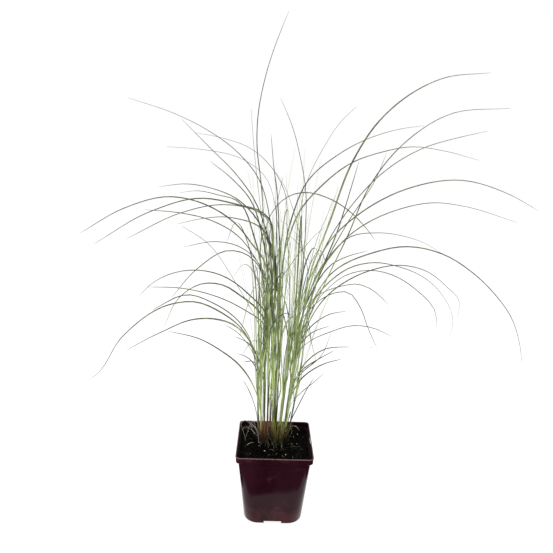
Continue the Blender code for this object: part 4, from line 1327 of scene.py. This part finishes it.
# Patches of short strips at the foot of the clump. x, y and top are ranges for where a strip stands and
# how high it reaches, lean is how far its tip moves out of the patch's middle for each mm of height.
Patch = namedtuple("Patch", "count x y top lean width tint dry")
OLD_SHEATHS = (
    Patch(34, (-25, -8), (-3, 14), (150, 174), 0.16, (0.4, 1.1), (0.0, 1.0), (0.0, 0.3)),
    Patch(26, (-22, -10), (-3, 9), (162, 182), 0.12, (0.4, 1.0), (0.3, 1.0), (0.0, 0.2)),
    Patch(30, (-30, 24), (-8, 24), (124, 146), 0.6, (0.3, 0.9), (0.0, 0.5), (0.0, 0.4)),
)
YOUNG_BLADES = (
    Patch(28, (-3, 19), (-8, 12), (144, 170), 0.22, (0.5, 1.2), (0.0, 1.0), (0.0, 0.1)),
    Patch(28, (0, 15), (-7, 6), (160, 182), 0.12, (0.6, 1.3), (0.5, 1.0), (0.0, 0.0)),
)
LOW_STRANDS = (
    Patch(16, (-34, 16), (-20, -2), (124, 140), -0.5, (0.4, 0.9), (0.0, 1.0), (0.0, 0.2)),
    Patch(8, (-40, 26), (-24, 6), (120, 130), 1.2, (0.3, 0.7), (0.0, 0.4), (0.0, 0.4)),
)


def add_patch(bm, chance, patch):
    """Strips that stand at random places of a patch and lean out of its middle, or into it."""
    middle = Vector((sum(patch.x) / 2, sum(patch.y) / 2 if patch.lean > 0 else CROWN_Y, 0))
    for _ in range(patch.count):
        x, y = chance.uniform(*patch.x), chance.uniform(*patch.y)
        foot = Vector((x, y, SOIL_TOP - 1.5 + chance.uniform(0, 3)))
        rise = chance.uniform(*patch.top) - foot.z
        outward = Vector((x, y, 0)) - middle
        outward = outward.normalized() if outward.length > 1 else Vector((1, 0, 0))
        outward = Matrix.Rotation(chance.uniform(-0.9, 0.9), 3, "Z") @ outward
        points = []
        for share in (0.0, 0.35, 0.7, 1.0):
            sway = Vector((chance.uniform(-2.6, 2.6), chance.uniform(-2, 2), 0)) * share
            points.append(foot + outward * patch.lean * rise * share ** 1.5 + Vector((0, 0, rise * share)) + sway)
        tint = patch.tint[0] if chance.random() < 0.3 else chance.uniform(*patch.tint)
        add_plain_blade(bm, points, chance.uniform(*patch.width), tint, 0.25,
                        (0.0, chance.uniform(-0.9, 0.9)), 4, chance.uniform(*patch.dry), 0.8, 6.0, 1.0)


class CLUMP_OT_stubble(bpy.types.Operator):
    """Builds the brown sheath stubble, the fresh tuft and the dead straws at the foot of the clump"""

    bl_idname = "clump.stubble"
    bl_label = "Stubble and Straws"

    def execute(self, context):
        settings = context.scene.clump_leaves
        chance = random.Random(settings.seed + 6)
        self.make_stubble(settings, chance)
        self.make_tuft(settings, chance)
        self.make_low_strands(chance)
        self.make_straws(chance)
        return {"FINISHED"}

    def make_stubble(self, settings, chance):
        """Split old sheaths, brown and short, round the feet of the left and middle shoots."""
        material = blade_material(
            "old_sheath", None, None, (0.03, 0.012, 0.005, 1.0), (0.52, 0.27, 0.11, 1.0),
            (0.7, 0.52, 0.32, 1.0), (0.24, 0.1, 0.04, 1.0), 0.3, 0.5, 0.95, 0.16, 0.6)
        bm = new_bmesh()
        for patch in OLD_SHEATHS:
            add_patch(bm, chance, patch)
        finish_piece(bm, "sheath_stubble", material, (), 60.0)

    def make_tuft(self, settings, chance):
        """Fresh yellow-green young leaves between the right shoots, tan where they start."""
        material = blade_material(
            "young_blade", None, None, (0.05, 0.08, 0.008, 1.0), (0.52, 0.6, 0.06, 1.0),
            (0.7, 0.72, 0.3, 1.0), (0.26, 0.16, 0.05, 1.0), 0.4, 0.3, 0.95, 0.157, 0.6)
        bm = new_bmesh()
        for patch in YOUNG_BLADES:
            add_patch(bm, chance, patch)
        finish_piece(bm, "young_tuft", material, (), 60.0)

    def make_low_strands(self, chance):
        """Thin strands that lean back into the clump from the soil in front of it."""
        material = blade_material(
            "low_strand", None, None, (0.008, 0.02, 0.01, 1.0), (0.16, 0.21, 0.1, 1.0),
            (0.4, 0.42, 0.3, 1.0), (0.12, 0.09, 0.06, 1.0), 0.4, 0.4, 0.9, 0.126)
        bm = new_bmesh()
        for patch in LOW_STRANDS:
            add_patch(bm, chance, patch)
        finish_piece(bm, "low_strands", material, (), 60.0)

    def make_straws(self, chance):
        material = blade_material(
            "dead_straw", None, None, (0.1, 0.085, 0.065, 1.0), (0.8, 0.76, 0.68, 1.0),
            (0.85, 0.82, 0.74, 1.0), (0.4, 0.33, 0.24, 1.0), 0.3, 0.4, 1.0, 0.122)
        bm = new_bmesh()
        for tint, route in STRAWS:
            points = [Vector(point) for point in route]
            add_plain_blade(bm, points, 0.35 + 0.95 * tint ** 5, tint, 0.4,
                            (0.0, chance.uniform(-1.5, 1.5)), 6, 0.0, 1.1, 4.0, 0.8)
        for _ in range(50):
            x, y = chance.uniform(-54, 54), chance.uniform(-54, 54)
            turn, length = chance.uniform(0, 6.28), chance.uniform(3, 13)
            lift = chance.uniform(0.2, 2.2)
            points = []
            for share in (0.0, 0.5, 1.0):
                px = max(-56.0, min(56.0, x + math.cos(turn) * length * (share - 0.5) + share * share * lift))
                py = max(-56.0, min(56.0, y + math.sin(turn) * length * (share - 0.5)))
                points.append(Vector((px, py, soil_height(px, py) + 0.3 + lift * math.sin(math.pi * share))))
            add_plain_blade(bm, points, chance.uniform(0.3, 0.8), chance.random() ** 3 * 0.5, 0.25,
                            (0.0, chance.uniform(-1, 1)), 4, chance.uniform(0, 0.5), 0.9, 2.5, 0.8)
        finish_piece(bm, "dead_straws", material, (), 60.0)
        stem = blade_material(
            "thin_stem", None, None, (0.05, 0.045, 0.04, 1.0), (0.16, 0.14, 0.1, 1.0),
            (0.36, 0.33, 0.27, 1.0), (0.08, 0.05, 0.04, 1.0), 0.1, 0.3)
        bm = new_bmesh()
        add_plain_blade(bm, [Vector(p) for p in THIN_STEM], 2.5, 0.1, 1.3, (0.0, 0.8), 8, 0.2, 1.4, 5.0, 1.0)
        add_plain_blade(bm, [Vector(p) for p in BUD_STEM], 2.4, 0.0, 1.2, (0.0, 0.4), 8, 0.1, 1.6, 5.0, 0.6)
        add_plain_blade(bm, [Vector(p) for p in BUD], 3.0, 0.0, 2.0, (0.0, 0.4), 8, 0.0, 1.6, 2.0, 0.6)
        finish_piece(bm, "thin_stems", stem, (), 60.0)


# Stage.


class CLUMP_OT_stage(bpy.types.Operator):
    """Sets up the floor, the studio light and the camera"""

    bl_idname = "clump.stage"
    bl_label = "Stage"

    def execute(self, context):
        settings = context.scene.clump_stage
        self.make_floor(context, settings)
        self.make_flag(context)
        self.make_lights(context, settings)
        self.make_camera(context)
        context.scene.view_settings.view_transform = "Standard"
        return {"FINISHED"}

    def make_floor(self, context, settings):
        """A pale floor that the camera sees as near white, so that thin leaves keep their edges over it."""
        material, tree, shader = new_material("floor", 0.7, Specular_IOR_Level=0.0)
        place = add_node(tree, "ShaderNodeTexCoord").outputs["Object"]
        mottle = noise_value(tree, place, 3.0, 2.0)
        pale = mix_colours(tree, mottle, (0.9, 0.9, 0.9, 1), (0.93, 0.93, 0.93, 1))
        seen = add_node(tree, "ShaderNodeLightPath").outputs["Is Camera Ray"]
        tree.links.new(mix_colours(tree, seen, pale, (*[FLOOR_SHADE] * 3, 1)), shader.inputs["Base Color"])
        glow = maths(tree, "MULTIPLY", seen, FLOOR_SEEN - settings.floor_glow)
        tree.links.new(maths(tree, "ADD", glow, settings.floor_glow), shader.inputs["Emission Strength"])
        shader.inputs["Emission Color"].default_value = (1.0, 1.0, 1.0, 1.0)
        floor = self.stage_plate(context, "floor", settings.floor, settings.floor, (0.0, 0.0, -0.0002), material)

    def make_flag(self, context):
        """A dark card with a window for the pot, which only glossy surfaces see."""
        material, tree, shader = new_material("flag", 0.9, Specular_IOR_Level=0.0)
        place = add_node(tree, "ShaderNodeTexCoord").outputs["Object"]
        weave = noise_value(tree, place, 200.0, 2.0)
        tree.links.new(mix_colours(tree, weave, (0.002, 0.002, 0.002, 1), (0.006, 0.005, 0.006, 1)), shader.inputs["Base Color"])
        flag = self.stage_plate(context, "flag", FLAG_WIDTH, FLAG_WIDTH, (0.0, 0.0, FLAG_HEIGHT), material)
        bm = bmesh.new()
        bm.from_mesh(flag.data)
        bmesh.ops.inset_region(bm, faces=bm.faces[:], thickness=FLAG_WIDTH / 4, use_boundary=True)
        middle = min(bm.faces, key=lambda face: face.calc_center_median().length)
        for vert in middle.verts:
            vert.co.x = FLAG_HOLE_X[0] if vert.co.x < 0 else FLAG_HOLE_X[1]
            vert.co.y = FLAG_HOLE_Y[0] if vert.co.y < 0 else FLAG_HOLE_Y[1]
        bmesh.ops.delete(bm, geom=[middle], context="FACES")
        bm.to_mesh(flag.data)
        bm.free()
        flag.data.transform(Matrix.Rotation(FLAG_TURN, 4, "Z"))
        flag.visible_camera = False
        flag.visible_diffuse = False
        flag.visible_shadow = False
        flag.visible_transmission = False

    def stage_plate(self, context, name, width, length, place, material):
        bm = bmesh.new()
        bmesh.ops.create_grid(bm, x_segments=1, y_segments=1, size=0.5)
        bmesh.ops.scale(bm, vec=(width, length, 1), verts=bm.verts)
        bmesh.ops.translate(bm, vec=place, verts=bm.verts)
        mesh = bpy.data.meshes.new(name)
        bm.to_mesh(mesh)
        bm.free()
        mesh.materials.append(material)
        plate = bpy.data.objects.new(name, mesh)
        context.scene.collection.objects.link(plate)
        return plate

    def make_lights(self, context, settings):
        world = bpy.data.worlds.new("surround")
        world.use_nodes = True
        tree = world.node_tree
        background = tree.nodes["Background"]
        background.inputs["Color"].default_value = (1.0, 1.0, 1.0, 1.0)
        path = add_node(tree, "ShaderNodeLightPath").outputs
        in_gloss = maths(tree, "MULTIPLY", path["Is Glossy Ray"], SURROUND_IN_GLOSS)
        lit = maths(tree, "MAXIMUM", maths(tree, "MULTIPLY", path["Is Diffuse Ray"], settings.surround), in_gloss)
        strength = maths(tree, "MAXIMUM", path["Is Camera Ray"], lit)
        tree.links.new(strength, background.inputs["Strength"])
        context.scene.world = world
        boxes = (
            ("key_light", settings.key, 1.2, (-1.1, -1.0, 1.7)),
            ("top_light", settings.top, 1.6, (0.3, 0.5, 2.1)),
        )
        for name, power, size, place in boxes:
            light = bpy.data.lights.new(name, "AREA")
            light.energy = power
            light.size = size
            lamp = bpy.data.objects.new(name, light)
            lamp.location = place
            lamp.rotation_euler = (Vector((0, 0, 0.3)) - Vector(place)).to_track_quat("-Z", "Y").to_euler()
            context.scene.collection.objects.link(lamp)

    def make_camera(self, context):
        ahead = Vector((math.sin(CAMERA_RIGHT) * math.cos(CAMERA_DOWN), math.cos(CAMERA_RIGHT) * math.cos(CAMERA_DOWN),
                        -math.sin(CAMERA_DOWN)))
        level = Vector((math.cos(CAMERA_RIGHT), -math.sin(CAMERA_RIGHT), 0.0))
        upright = level.cross(ahead)
        across = level * math.cos(CAMERA_ROLL) + upright * math.sin(CAMERA_ROLL)
        up = upright * math.cos(CAMERA_ROLL) - level * math.sin(CAMERA_ROLL)
        lens = bpy.data.cameras.new("camera")
        lens.lens = LENS_MM
        lens.sensor_width = 36.0
        lens.clip_start = 0.01
        camera = bpy.data.objects.new("camera", lens)
        turn = Matrix((across, up, -ahead)).transposed()
        camera.matrix_world = Matrix.Translation(CAMERA_PLACE) @ turn.to_4x4()
        context.scene.collection.objects.link(camera)
        context.scene.camera = camera


# How bright the surround looks in a glossy surface.
SURROUND_IN_GLOSS = 0.38

# The floor as the camera sees it: its own light and how much of the lamps' light and shadow it shows.
FLOOR_SEEN = 0.9
FLOOR_SHADE = 0.16

# The dark card round the pot and the window in it, in metres.
FLAG_WIDTH = 1.6
FLAG_HEIGHT = 0.0004
FLAG_HOLE_X = (-0.11, 0.14)
FLAG_HOLE_Y = (-0.112, 0.3)
FLAG_TURN = math.radians(-7.6)


class CLUMP_PT_build(bpy.types.Panel):
    """Lists the parts of the clump and their settings"""

    bl_label = "Grass Clump"
    bl_space_type = "VIEW_3D"
    bl_region_type = "UI"
    bl_category = "Grass Clump"

    def draw(self, context):
        for operator in OPERATORS:
            self.layout.operator(operator.bl_idname)
        for name in SETTINGS:
            group = getattr(context.scene, name)
            box = self.layout.box()
            for prop in group.bl_rna.properties:
                if prop.identifier not in ("rna_type", "name"):
                    box.prop(group, prop.identifier)


SETTINGS = {
    "clump_pot": PotSettings,
    "clump_soil": SoilSettings,
    "clump_leaves": LeafSettings,
    "clump_stage": StageSettings,
}
OPERATORS = (
    CLUMP_OT_stage,
    CLUMP_OT_pot,
    CLUMP_OT_soil,
    CLUMP_OT_shoots,
    CLUMP_OT_leaves,
    CLUMP_OT_side_leaves,
    CLUMP_OT_upright_leaves,
    CLUMP_OT_small_leaves,
    CLUMP_OT_stubble,
)


def register():
    for group in SETTINGS.values():
        bpy.utils.register_class(group)
    for operator in OPERATORS:
        bpy.utils.register_class(operator)
    bpy.utils.register_class(CLUMP_PT_build)
    for name, group in SETTINGS.items():
        setattr(bpy.types.Scene, name, PointerProperty(type=group))


def unregister():
    for name in SETTINGS:
        delattr(bpy.types.Scene, name)
    bpy.utils.unregister_class(CLUMP_PT_build)
    for operator in reversed(OPERATORS):
        bpy.utils.unregister_class(operator)
    for group in reversed(list(SETTINGS.values())):
        bpy.utils.unregister_class(group)


def main():
    register()
    for operator in OPERATORS:
        group, name = operator.bl_idname.split(".")
        getattr(getattr(bpy.ops, group), name)()


if __name__ == "__main__":
    main()
